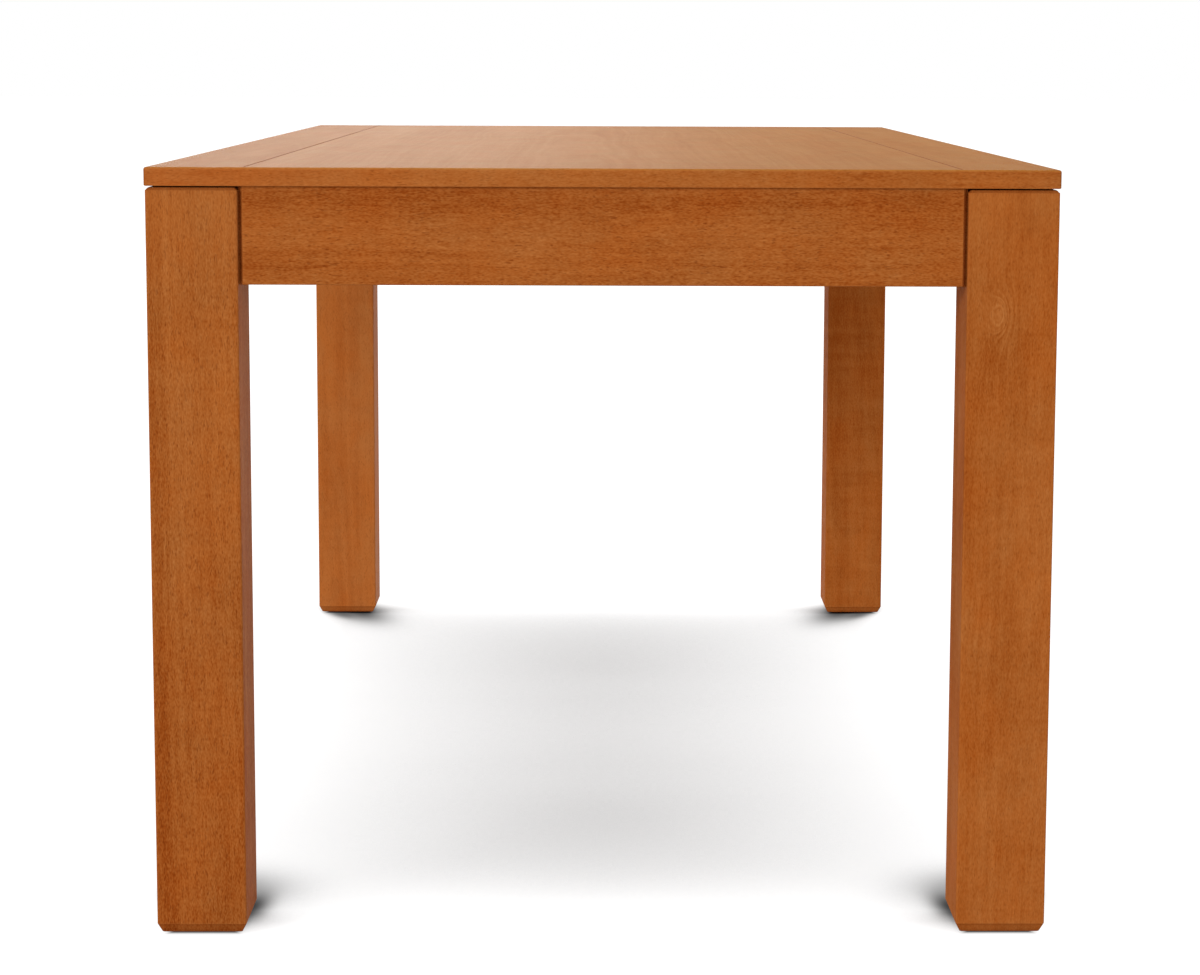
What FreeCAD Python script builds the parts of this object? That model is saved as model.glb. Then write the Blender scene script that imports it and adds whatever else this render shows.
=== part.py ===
import FreeCAD, Part
import math
import os

# Parsons dining table: a thin top laid flush over four square legs, with aprons set back between
# the legs. The legs are drawn up to the aprons by hanger bolts through corner blocks, steel clips
# and cross rails hold the top, and nothing moves.
#
# Frame: millimetres, +Z up, origin on the floor at the centre of the footprint. The width runs
# along X, the length along Y, and the front end faces -Y.

# ---------------------------------------------------------------------------- driving dimensions

table_length = 1800.0
table_width = 900.0
table_height = 775.0

# Tabletop
top_thickness = 18.5
top_overhang = 1.0
top_edge_radius = 2.5
top_lower_edge_radius = 1.0
side_board_width = 97.0
end_lipping_thickness = 5.0
board_arris_chamfer = 0.9
spline_thickness = 6.0
spline_groove_depth = 10.0
spline_edge_space = 0.5
spline_end_stop = 40.0

# Legs
leg_width = 90.0
leg_edge_radius = 2.0
leg_top_gap = 1.5
leg_top_chamfer = 4.0
foot_bevel_width = 5.0
foot_bevel_height = 10.0
bolt_flat_cut = 16.0

# Aprons
apron_height = 97.0
apron_thickness = 22.0
apron_setback = 4.0
apron_end_gap = 2.0
apron_end_gap_depth = 5.0
apron_end_bevel = 2.5
apron_edge_radius = 1.5
kerf_width = 3.2
kerf_depth = 10.0
kerf_drop = 11.0

# Dowels
apron_dowel_radius = 5.0
apron_dowel_depth = 25.0
apron_dowel_lift = 24.0
rail_dowel_radius = 4.0
rail_dowel_apron_depth = 12.0
rail_dowel_rail_depth = 22.0
rail_dowel_lift = 18.0
dowel_kerf_margin = 5.0
dowel_chamfer = 1.0
dowel_end_space = 0.8

# Cross rails
rail_spacing = 600.0
rail_thickness = 22.0
rail_height = 70.0
rail_arris_chamfer = 2.0
rail_screw_pitch = 250.0
rail_screw_radius = 2.25
rail_screw_length = 42.0
rail_screw_head_radius = 4.5
rail_screw_head_height = 3.0
rail_screw_seat_depth = 30.0

# Corner blocks
block_thickness = 28.0
block_leg_gap = 5.0
block_bottom_inset = 12.0
block_top_inset = 15.0
block_arris_chamfer = 2.0
block_screw_edge_distance = 14.0
block_screw_radius = 2.0
block_screw_length = 27.0
block_screw_head_radius = 4.0
block_screw_head_height = 2.6
block_screw_seat = 12.0

# Hanger bolts, washers and nuts
bolt_radius = 4.0
bolt_leg_depth = 45.0
bolt_edge_distance = 15.0
bolt_tail = 4.0
washer_radius = 9.0
washer_thickness = 1.6
nut_across_flats = 13.0
nut_height = 6.5

# Tabletop clips
clip_thickness = 1.6
clip_width = 20.0
clip_tongue_reach = 8.0
clip_standoff = 3.0
clip_foot_length = 24.0
clip_rail_offset = 130.0
clip_end_offset = 150.0
clip_screw_radius = 1.9
clip_screw_bite = 14.0
clip_screw_head_radius = 4.0
clip_screw_head_height = 2.4

# Foot glides
glide_radius = 20.0
glide_thickness = 3.0
glide_chamfer = 1.0
glide_recess_depth = 1.6
nail_radius = 1.5
nail_length = 20.0
nail_head_radius = 5.0
nail_head_thickness = 1.2

# Clearances: around a shank that is gripped, around one that passes through, around a head in
# its recess, and the distance by which a cutting solid passes a face.
grip_clearance = 0.1
pass_clearance = 0.4
recess_clearance = 0.5
cutter_reach = 1.0

# ------------------------------------------------------------------------------- derived places

half_length = table_length / 2
half_width = table_width / 2
top_underside = table_height - top_thickness

leg_outer_x = half_width - top_overhang
leg_outer_y = half_length - top_overhang
leg_inner_x = leg_outer_x - leg_width
leg_inner_y = leg_outer_y - leg_width
leg_center_x = leg_outer_x - leg_width / 2
leg_center_y = leg_outer_y - leg_width / 2
leg_top = top_underside - leg_top_gap

apron_bottom = top_underside - apron_height
side_apron_inner_x = leg_outer_x - apron_setback - apron_thickness
end_apron_inner_y = leg_outer_y - apron_setback - apron_thickness
kerf_top = top_underside - kerf_drop
kerf_bottom = kerf_top - kerf_width

# The apron's end bears on the leg behind the shadow gap, and its dowels are centred there.
apron_bearing = apron_thickness - apron_end_gap_depth
apron_dowel_heights = (apron_bottom + apron_dowel_lift,
                       kerf_bottom - dowel_kerf_margin - apron_dowel_radius)

side_board_inner_x = half_width - side_board_width
board_end_y = half_length - end_lipping_thickness

rail_center_y = rail_spacing / 2
rail_bottom = top_underside - rail_height
rail_dowel_heights = (rail_bottom + rail_dowel_lift,
                      kerf_bottom - dowel_kerf_margin - rail_dowel_radius)

# A corner block is bounded by planes at 45 degrees, on which x + y is constant.
flat_sum = leg_inner_x + leg_inner_y + bolt_flat_cut
block_outer_sum = flat_sum - block_leg_gap * math.sqrt(2)
block_inner_sum = block_outer_sum - block_thickness * math.sqrt(2)
block_middle_sum = (block_outer_sum + block_inner_sum) / 2
block_bottom = apron_bottom + block_bottom_inset
block_top = top_underside - block_top_inset
bolt_heights = (block_bottom + bolt_edge_distance, block_top - bolt_edge_distance)
block_screw_heights = (block_bottom + block_screw_edge_distance,
                       block_top - block_screw_edge_distance)

CORNERS = {"front_left": (-1, -1), "front_right": (1, -1),
           "back_left": (-1, 1), "back_right": (1, 1)}
SIDES = {"left": -1, "right": 1}
ENDS = {"front": -1, "back": 1}

# ------------------------------------------------------------------------------------- geometry


def point(x, y, z):
    """Point or direction."""
    return FreeCAD.Vector(x, y, z)


ALONG_X = point(1, 0, 0)
ALONG_Y = point(0, 1, 0)
UPWARD = point(0, 0, 1)
TO_LEG = point(math.sqrt(0.5), math.sqrt(0.5), 0)


def block_between(low, high):
    """Box from its lowest corner to its highest corner."""
    size = high.sub(low)
    return Part.makeBox(size.x, size.y, size.z, low)


def prism(outline, travel):
    """Solid swept by a flat closed outline of points along a travel vector."""
    return Part.Face(Part.makePolygon(outline + outline[:1])).extrude(travel)


def rod(radius, start, direction, length):
    """Round bar from a start point."""
    return Part.makeCylinder(radius, length, start, direction)


def along(start, direction, distance):
    """Point at a distance from a start point."""
    return start.add(point(direction.x, direction.y, direction.z).multiply(distance))


def dowel(radius, start, direction, length):
    """Round peg with both ends chamfered."""
    peg = rod(radius, start, direction, length)
    return peg.makeChamfer(dowel_chamfer, [edge for edge in peg.Edges if edge.Closed])


def screw(shank_radius, length, head_radius, head_height, seat, direction):
    """Screw whose head rests on its seat, with the shank along the direction."""
    head = rod(head_radius, seat, direction.negative(), head_height)
    return head.fuse(rod(shank_radius, seat, direction, length)).removeSplitter()


def edges_at(shape, test):
    """Edges of a shape whose end points all pass a test."""
    return [edge for edge in shape.Edges if all(test(vertex.Point) for vertex in edge.Vertexes)]


def near(value, other):
    """Whether two lengths are the same within the modelling tolerance."""
    return math.isclose(value, other, abs_tol=1e-6)


def flip(shape, x_side, y_side):
    """Copy of a shape made at +X +Y, mirrored to another side, end or corner."""
    if x_side < 0:
        shape = shape.mirror(point(0, 0, 0), ALONG_X)
    if y_side < 0:
        shape = shape.mirror(point(0, 0, 0), ALONG_Y)
    return shape


def everywhere(solids, places):
    """Group of separate solids: each one made at +X +Y, repeated at every place."""
    return Part.Compound([flip(solid, *place) for place in places for solid in solids])


def save(name, shape):
    """Write one node."""
    shape.exportStep(f"parts/{name}.step")


# -------------------------------------------------------------------------------- screw and bolt
# Each list gives the places at the +X +Y corner, side or end: a start point and a direction.


def apron_dowel_lines():
    """Dowel axes from the leg's inner faces towards the leg, for both aprons at one corner."""
    bearing_middle = apron_bearing / 2
    lines = []
    for height in apron_dowel_heights:
        lines.append((point(leg_inner_x, end_apron_inner_y + bearing_middle, height), ALONG_X))
        lines.append((point(side_apron_inner_x + bearing_middle, leg_inner_y, height), ALONG_Y))
    return lines


def rail_dowel_lines():
    """Dowel axes from the side apron's inner face outwards, for one end of one cross rail."""
    return [(point(side_apron_inner_x, rail_center_y, height), ALONG_X)
            for height in rail_dowel_heights]


def bolt_lines():
    """Hanger bolt axes from the leg's flat towards the middle of the leg."""
    return [(point(leg_inner_x + bolt_flat_cut / 2, leg_inner_y + bolt_flat_cut / 2, height), TO_LEG)
            for height in bolt_heights]


def block_screw_lines():
    """Corner block screw seats, each square to the apron that the screw bites."""
    on_side_apron = block_middle_sum - side_apron_inner_x
    on_end_apron = block_middle_sum - end_apron_inner_y
    lines = []
    for height in block_screw_heights:
        lines.append((point(side_apron_inner_x - block_screw_seat, on_side_apron, height), ALONG_X))
        lines.append((point(on_end_apron, end_apron_inner_y - block_screw_seat, height), ALONG_Y))
    return lines


def rail_screw_seats():
    """Heads' seats in the counterbores of one cross rail."""
    return [point(step * rail_screw_pitch, rail_center_y, top_underside - rail_screw_seat_depth)
            for step in (-1, 0, 1)]


def clip_frames():
    """Clip places: the point on the apron's inner face and the way from there under the top."""
    frames = [(point(side_apron_inner_x, rail_center_y + step * clip_rail_offset, kerf_top), ALONG_X)
              for step in (-1, 1)]
    frames.append((point(clip_end_offset, end_apron_inner_y, kerf_top), ALONG_Y))
    return frames


# ------------------------------------------------------------------------------------- tabletop


def tabletop_slab():
    """Whole top before it is divided into its boards, with its outer edges rounded."""
    slab = block_between(point(-half_width, -half_length, top_underside),
                         point(half_width, half_length, table_height))
    rim = edges_at(slab, lambda end: near(end.z, table_height))
    uprights = [edge for edge in slab.Edges if near(edge.Length, top_thickness)]
    slab = slab.makeFillet(top_edge_radius, rim + uprights)
    lower_rim = edges_at(slab, lambda end: near(end.z, top_underside))
    return slab.makeFillet(top_lower_edge_radius, lower_rim)


def spline_space(depth, end_y, half_height):
    """Flat bar about the +X joint line of the top, at half its thickness."""
    middle = top_underside + top_thickness / 2
    return block_between(point(side_board_inner_x - depth, -end_y, middle - half_height),
                         point(side_board_inner_x + depth, end_y, middle + half_height))


def joint_cuts():
    """Stopped spline groove and V-groove along the +X joint line."""
    groove = spline_space(spline_groove_depth, board_end_y - spline_end_stop, spline_thickness / 2)
    vee_outline = [point(side_board_inner_x + board_arris_chamfer * across, -board_end_y,
                         table_height + board_arris_chamfer * up)
                   for across, up in ((-1, 0), (0, -1), (1, 0), (0, 1))]
    vee = prism(vee_outline, point(0, 2 * board_end_y, 0))
    return [groove, vee]


def top_screw_pilots():
    """Pilot holes for the clip screws and rail screws, for the +X +Y quarter."""
    pilots = []
    for start, outward in clip_frames():
        base = along(clip_hole_center(start, outward), UPWARD, -clip_thickness)
        pilots.append(rod(clip_screw_radius + grip_clearance, base, UPWARD,
                          clip_screw_bite + clip_thickness + dowel_end_space))
    for seat in rail_screw_seats():
        pilots.append(rod(rail_screw_radius + grip_clearance, seat, UPWARD,
                          rail_screw_length + dowel_end_space))
    return pilots


def make_tabletop():
    """Centre panel, side boards and end lippings, cut from one slab, and the two splines."""
    slab = tabletop_slab()
    cuts = [flip(cut, side, 1) for cut in joint_cuts() for side in SIDES.values()]
    cuts += [flip(pilot, *place) for pilot in top_screw_pilots() for place in CORNERS.values()]
    boards = slab.cut(cuts)
    below = top_underside - cutter_reach
    above = table_height + cutter_reach
    panel = block_between(point(-side_board_inner_x, -board_end_y, below),
                          point(side_board_inner_x, board_end_y, above))
    save("top_center_panel", boards.common(panel).Solids[0])
    side_board = block_between(point(side_board_inner_x, -board_end_y, below),
                               point(half_width + cutter_reach, board_end_y, above))
    spline = spline_space(spline_groove_depth - spline_edge_space,
                          board_end_y - spline_end_stop - spline_edge_space, spline_thickness / 2)
    for name, side in SIDES.items():
        save(f"top_side_board_{name}", boards.common(flip(side_board, side, 1)).Solids[0])
        save(f"top_spline_{name}", flip(spline, side, 1))
    lipping = block_between(point(-half_width - cutter_reach, board_end_y, below),
                            point(half_width + cutter_reach, half_length + cutter_reach, above))
    for name, end in ENDS.items():
        save(f"top_end_lipping_{name}", slab.common(flip(lipping, 1, end)).Solids[0])


# ----------------------------------------------------------------------------------------- legs


def leg_profile(center, direction):
    """Leg's outline seen from one side, with foot bevel and top chamfer, through a whole block."""
    half = leg_width / 2
    foot_half = half - foot_bevel_width
    top_half = half - leg_top_chamfer
    steps = [(foot_half, glide_thickness), (half, glide_thickness + foot_bevel_height),
             (half, leg_top - leg_top_chamfer), (top_half, leg_top)]
    mirrored_steps = [(-offset, height) for offset, height in reversed(steps)]
    across = ALONG_Y.cross(UPWARD) if direction == ALONG_Y else ALONG_Y
    start = along(center, direction, -leg_width)
    outline = [along(along(start, across, offset), UPWARD, height)
               for offset, height in steps + mirrored_steps]
    return prism(outline, along(point(0, 0, 0), direction, 2 * leg_width))


def make_legs():
    """Four legs with their feet bevelled, a flat for the bolts, and all their holes."""
    center = point(leg_center_x, leg_center_y, 0)
    leg = block_between(point(leg_inner_x, leg_inner_y, glide_thickness),
                        point(leg_outer_x, leg_outer_y, leg_top))
    uprights = [edge for edge in leg.Edges if near(edge.Length, leg_top - glide_thickness)]
    leg = leg.makeFillet(leg_edge_radius, uprights)
    leg = leg.common(leg_profile(center, ALONG_X)).common(leg_profile(center, ALONG_Y))
    near_x = leg_inner_x - cutter_reach
    near_y = leg_inner_y - cutter_reach
    far_cut = bolt_flat_cut + cutter_reach
    flat_outline = [point(near_x, near_y, apron_bottom),
                    point(leg_inner_x + far_cut, near_y, apron_bottom),
                    point(near_x, leg_inner_y + far_cut, apron_bottom)]
    holes = [prism(flat_outline, point(0, 0, apron_height))]
    for start, direction in apron_dowel_lines():
        holes.append(rod(apron_dowel_radius + grip_clearance, start, direction,
                         apron_dowel_depth + dowel_end_space))
    for start, direction in bolt_lines():
        holes.append(rod(bolt_radius + grip_clearance, along(start, direction, -cutter_reach),
                         direction, bolt_leg_depth + dowel_end_space + cutter_reach))
    nail_hole = rod(nail_radius + grip_clearance, center, UPWARD,
                    glide_recess_depth + nail_length + dowel_end_space)
    leg = leg.cut(holes + [nail_hole]).Solids[0]
    for name, corner in CORNERS.items():
        save(f"leg_{name}", flip(leg, *corner))


# --------------------------------------------------------------------------------------- aprons


def apron_blank(half_span):
    """Apron about X = 0 with its inner face on Y = 0 and its outer face at its thickness."""
    outer = apron_thickness
    gap_floor = outer - apron_end_gap_depth
    gap_x = half_span - apron_end_gap
    half_outline = [(half_span, 0), (half_span, gap_floor), (gap_x, gap_floor),
                    (gap_x, outer - apron_end_bevel), (gap_x - apron_end_bevel, outer)]
    outline = [point(x, y, apron_bottom) for x, y in half_outline]
    outline += [point(-x, y, apron_bottom) for x, y in reversed(half_outline)]
    blank = prism(outline, point(0, 0, apron_height))
    lower_arris = edges_at(blank, lambda end: near(end.z, apron_bottom) and near(end.y, outer))
    inner_arris = edges_at(blank, lambda end: near(end.z, apron_bottom) and near(end.y, 0))
    blank = blank.makeFillet(apron_edge_radius, lower_arris + inner_arris)
    kerf = block_between(point(-half_span - cutter_reach, -cutter_reach, kerf_bottom),
                         point(half_span + cutter_reach, kerf_depth, kerf_top))
    return blank.cut(kerf)


def apron_holes():
    """Holes in the aprons of the +X +Y quarter, placed as in the finished table."""
    holes = []
    for start, direction in apron_dowel_lines():
        holes.append(rod(apron_dowel_radius + grip_clearance, start, direction.negative(),
                         apron_dowel_depth + dowel_end_space))
    for start, direction in rail_dowel_lines():
        holes.append(rod(rail_dowel_radius + grip_clearance, start, direction,
                         rail_dowel_apron_depth + dowel_end_space))
    for seat, direction in block_screw_lines():
        holes.append(rod(block_screw_radius + grip_clearance, seat, direction,
                         block_screw_length + dowel_end_space))
    return holes


def make_aprons():
    """Two end aprons and two side aprons between the legs."""
    holes = [flip(hole, *corner) for hole in apron_holes() for corner in CORNERS.values()]
    end_apron = apron_blank(leg_inner_x).translate(point(0, end_apron_inner_y, 0))
    side_apron = apron_blank(leg_inner_y).rotate(point(0, 0, 0), UPWARD, -90)
    side_apron = side_apron.translate(point(side_apron_inner_x, 0, 0))
    for name, end in ENDS.items():
        save(f"end_apron_{name}", flip(end_apron, 1, end).cut(holes).Solids[0])
    for name, side in SIDES.items():
        save(f"side_apron_{name}", flip(side_apron, side, 1).cut(holes).Solids[0])


def make_apron_dowels():
    """Dowels between the aprons and the legs, as one group."""
    pegs = [dowel(apron_dowel_radius, along(start, direction, -apron_dowel_depth), direction,
                  2 * apron_dowel_depth) for start, direction in apron_dowel_lines()]
    save("apron_dowels", everywhere(pegs, CORNERS.values()))


# ---------------------------------------------------------------------------------- cross rails


def make_cross_rails():
    """Two rails across the table under the top, their dowels and their screws into the top."""
    rail = block_between(
        point(-side_apron_inner_x, rail_center_y - rail_thickness / 2, rail_bottom),
        point(side_apron_inner_x, rail_center_y + rail_thickness / 2, top_underside))
    lower_arrises = [edge for edge in edges_at(rail, lambda end: near(end.z, rail_bottom))
                     if near(edge.Length, 2 * side_apron_inner_x)]
    rail = rail.makeChamfer(rail_arris_chamfer, lower_arrises)
    holes = []
    for seat in rail_screw_seats():
        holes.append(rod(rail_screw_head_radius + recess_clearance, seat, UPWARD.negative(),
                         rail_height))
        holes.append(rod(rail_screw_radius + pass_clearance, seat, UPWARD,
                         rail_screw_seat_depth + cutter_reach))
    pegs = []
    for start, direction in rail_dowel_lines():
        hole = rod(rail_dowel_radius + grip_clearance, start, direction.negative(),
                   rail_dowel_rail_depth + dowel_end_space)
        holes += [hole, flip(hole, -1, 1)]
        pegs.append(dowel(rail_dowel_radius, along(start, direction, -rail_dowel_rail_depth),
                          direction, rail_dowel_rail_depth + rail_dowel_apron_depth))
    rail = rail.cut(holes).Solids[0]
    for name, end in ENDS.items():
        save(f"cross_rail_{name}", flip(rail, 1, end))
    save("rail_dowels", everywhere(pegs, CORNERS.values()))
    screws = [screw(rail_screw_radius, rail_screw_length, rail_screw_head_radius,
                    rail_screw_head_height, seat, UPWARD) for seat in rail_screw_seats()]
    save("rail_screws", everywhere(screws, [(1, end) for end in ENDS.values()]))


# -------------------------------------------------------------------------------- corner blocks


def corner_block():
    """Block across the +X +Y corner, its mitred ends flat on the two aprons."""
    outline = [point(side_apron_inner_x, block_outer_sum - side_apron_inner_x, block_bottom),
               point(block_outer_sum - end_apron_inner_y, end_apron_inner_y, block_bottom),
               point(block_inner_sum - end_apron_inner_y, end_apron_inner_y, block_bottom),
               point(side_apron_inner_x, block_inner_sum - side_apron_inner_x, block_bottom)]
    blank = prism(outline, point(0, 0, block_top - block_bottom))
    inner_arrises = [edge for edge in edges_at(
        blank, lambda end: near(end.x + end.y, block_inner_sum))
        if not near(edge.Length, block_top - block_bottom)]
    blank = blank.makeChamfer(block_arris_chamfer, inner_arrises)
    holes = []
    for start, direction in bolt_lines():
        holes.append(rod(bolt_radius + pass_clearance, start, direction.negative(),
                         2 * (block_leg_gap + block_thickness)))
    for seat, direction in block_screw_lines():
        holes.append(rod(block_screw_head_radius + recess_clearance, seat, direction.negative(),
                         block_thickness))
        holes.append(rod(block_screw_radius + pass_clearance, seat, direction,
                         block_screw_seat + cutter_reach))
    return blank.cut(holes).Solids[0]


def make_corner_blocks():
    """Four corner blocks and the screws that hold them to the aprons."""
    block = corner_block()
    for name, corner in CORNERS.items():
        save(f"corner_block_{name}", flip(block, *corner))
    screws = [screw(block_screw_radius, block_screw_length, block_screw_head_radius,
                    block_screw_head_height, seat, direction)
              for seat, direction in block_screw_lines()]
    save("corner_block_screws", everywhere(screws, CORNERS.values()))


def make_hanger_bolts():
    """Bolts from the legs through the corner blocks, with a washer and a nut on each."""
    to_block_face = block_leg_gap + block_thickness
    bolts = []
    washers = []
    nuts = []
    for start, to_leg in bolt_lines():
        block_face = along(start, to_leg, -to_block_face)
        washer_face = along(block_face, to_leg, -washer_thickness)
        nut_face = along(washer_face, to_leg, -nut_height)
        bolt_end = along(nut_face, to_leg, -bolt_tail)
        bolts.append(rod(bolt_radius, bolt_end, to_leg,
                         bolt_tail + nut_height + washer_thickness + to_block_face
                         + bolt_leg_depth))
        washers.append(rod(washer_radius, washer_face, to_leg, washer_thickness).cut(
            rod(bolt_radius + pass_clearance, washer_face, to_leg, washer_thickness)))
        nuts.append(hexagon_nut(nut_face, to_leg))
    save("hanger_bolts", everywhere(bolts, CORNERS.values()))
    save("bolt_washers", everywhere(washers, CORNERS.values()))
    save("bolt_nuts", everywhere(nuts, CORNERS.values()))


def hexagon_nut(start, direction):
    """Six-sided nut whose bore follows a level direction from a start point."""
    corner_radius = nut_across_flats / math.sqrt(3)
    across = direction.cross(UPWARD)
    turns = [math.radians(60 * corner) for corner in range(6)]
    outline = [along(along(start, across, corner_radius * math.cos(turn)), UPWARD,
                     corner_radius * math.sin(turn)) for turn in turns]
    body = prism(outline, along(point(0, 0, 0), direction, nut_height))
    return body.cut(rod(bolt_radius + grip_clearance, start, direction, nut_height))


# ------------------------------------------------------------------------------- tabletop clips


def clip_hole_center(start, outward):
    """Middle of the clip's foot, on the underside of the top."""
    inward = clip_standoff + clip_foot_length / 2 + clip_thickness / 2
    place = along(start, outward, -inward)
    return point(place.x, place.y, top_underside)


def clip(start, outward):
    """Z-shaped steel clip: its tongue lies in the apron's kerf, its foot under the top."""
    steps = [(-clip_tongue_reach, kerf_top), (clip_standoff, kerf_top),
             (clip_standoff, top_underside), (clip_standoff + clip_foot_length, top_underside),
             (clip_standoff + clip_foot_length, top_underside - clip_thickness),
             (clip_standoff + clip_thickness, top_underside - clip_thickness),
             (clip_standoff + clip_thickness, kerf_top - clip_thickness),
             (-clip_tongue_reach, kerf_top - clip_thickness)]
    across = outward.cross(UPWARD)
    near_side = along(start, across, -clip_width / 2)
    outline = []
    for inward, height in steps:
        place = along(near_side, outward, -inward)
        outline.append(point(place.x, place.y, height))
    body = prism(outline, along(point(0, 0, 0), across, clip_width))
    hole_start = along(clip_hole_center(start, outward), UPWARD, -2 * clip_thickness)
    return body.cut(rod(clip_screw_radius + pass_clearance, hole_start, UPWARD,
                        3 * clip_thickness))


def make_clips():
    """Clips from the aprons to the top and their screws, each as one group."""
    clips = [clip(start, outward) for start, outward in clip_frames()]
    screws = []
    for start, outward in clip_frames():
        seat = along(clip_hole_center(start, outward), UPWARD, -clip_thickness)
        screws.append(screw(clip_screw_radius, clip_thickness + clip_screw_bite,
                            clip_screw_head_radius, clip_screw_head_height, seat, UPWARD))
    save("tabletop_clips", everywhere(clips, CORNERS.values()))
    save("clip_screws", everywhere(screws, CORNERS.values()))


# ----------------------------------------------------------------------------------- foot glides


def make_glides():
    """Nylon disc under each leg, and the nails whose heads lie in the discs' recesses."""
    center = point(leg_center_x, leg_center_y, 0)
    glide = rod(glide_radius, center, UPWARD, glide_thickness)
    lower_rim = edges_at(glide, lambda end: near(end.z, 0))
    rim_circle = [edge for edge in lower_rim if edge.Closed]
    glide = glide.makeChamfer(glide_chamfer, rim_circle)
    recess = rod(nail_head_radius + recess_clearance, center, UPWARD, glide_recess_depth)
    nail_way = rod(nail_radius + pass_clearance, center, UPWARD, glide_thickness)
    glide = glide.cut([recess, nail_way])
    for name, corner in CORNERS.items():
        save(f"foot_glide_{name}", flip(glide, *corner))
    seat = along(center, UPWARD, glide_recess_depth)
    nail = screw(nail_radius, nail_length, nail_head_radius, nail_head_thickness, seat, UPWARD)
    save("glide_nails", everywhere([nail], CORNERS.values()))


def main():
    """Write every node of the table."""
    os.makedirs("parts", exist_ok=True)
    make_tabletop()
    make_legs()
    make_aprons()
    make_apron_dowels()
    make_cross_rails()
    make_corner_blocks()
    make_hanger_bolts()
    make_clips()
    make_glides()


main()
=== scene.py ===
import logging
import math
from dataclasses import dataclass, field, replace
from enum import Enum

import bmesh
import bpy
import numpy as np
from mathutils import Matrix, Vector


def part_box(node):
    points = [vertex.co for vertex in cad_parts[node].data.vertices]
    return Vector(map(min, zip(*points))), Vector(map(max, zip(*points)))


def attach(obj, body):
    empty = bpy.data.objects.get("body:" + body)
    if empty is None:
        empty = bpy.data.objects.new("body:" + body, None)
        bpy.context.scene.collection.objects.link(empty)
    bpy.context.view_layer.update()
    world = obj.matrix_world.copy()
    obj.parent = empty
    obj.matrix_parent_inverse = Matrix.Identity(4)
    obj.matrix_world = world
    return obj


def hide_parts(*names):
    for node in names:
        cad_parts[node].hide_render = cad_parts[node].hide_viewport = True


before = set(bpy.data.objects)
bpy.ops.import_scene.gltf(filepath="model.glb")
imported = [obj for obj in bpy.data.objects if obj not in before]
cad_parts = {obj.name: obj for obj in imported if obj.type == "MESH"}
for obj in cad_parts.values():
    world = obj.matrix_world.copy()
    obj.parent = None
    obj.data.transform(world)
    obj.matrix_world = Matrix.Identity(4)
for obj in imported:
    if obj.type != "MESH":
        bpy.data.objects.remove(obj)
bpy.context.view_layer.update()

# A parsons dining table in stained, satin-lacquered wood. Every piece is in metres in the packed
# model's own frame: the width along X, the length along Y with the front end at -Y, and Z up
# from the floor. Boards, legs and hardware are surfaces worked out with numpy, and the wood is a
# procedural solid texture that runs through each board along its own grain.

BODY = "root"
MM = 0.001
SMOOTH_ANGLE = math.radians(38.0)
FACE_AREA_WEIGHT = 100
NOISE_SPAN = (0.3, 0.7)  # most of a smooth noise, and of a wood's tone, lies between these
log = logging.getLogger("dining_table")

Colour = tuple[float, float, float]
Point = tuple[float, float, float]
Socket = bpy.types.NodeSocket


class GrainWay(Enum):
    """Axis that a board's grain follows, as the order of the axes from along to across."""

    ACROSS_TABLE = "XYZ"
    ALONG_TABLE = "YZX"
    UPRIGHT = "ZXY"


@dataclass(frozen=True)
class Corner:
    """One corner of the table.

    Attributes:
        name: of the corner.
        x: sign of its side.
        y: sign of its end.
        inner: number of the leg section's corner that faces the table's middle, counted
            anticlockwise from the one towards +X and +Y.
    """

    name: str
    x: int
    y: int
    inner: int


CORNERS = (Corner("front_left", -1, -1, 0), Corner("front_right", 1, -1, 1),
           Corner("back_left", -1, 1, 3), Corner("back_right", 1, 1, 2))


# ---------------------------------------------------------------------------------- surfaces


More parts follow.
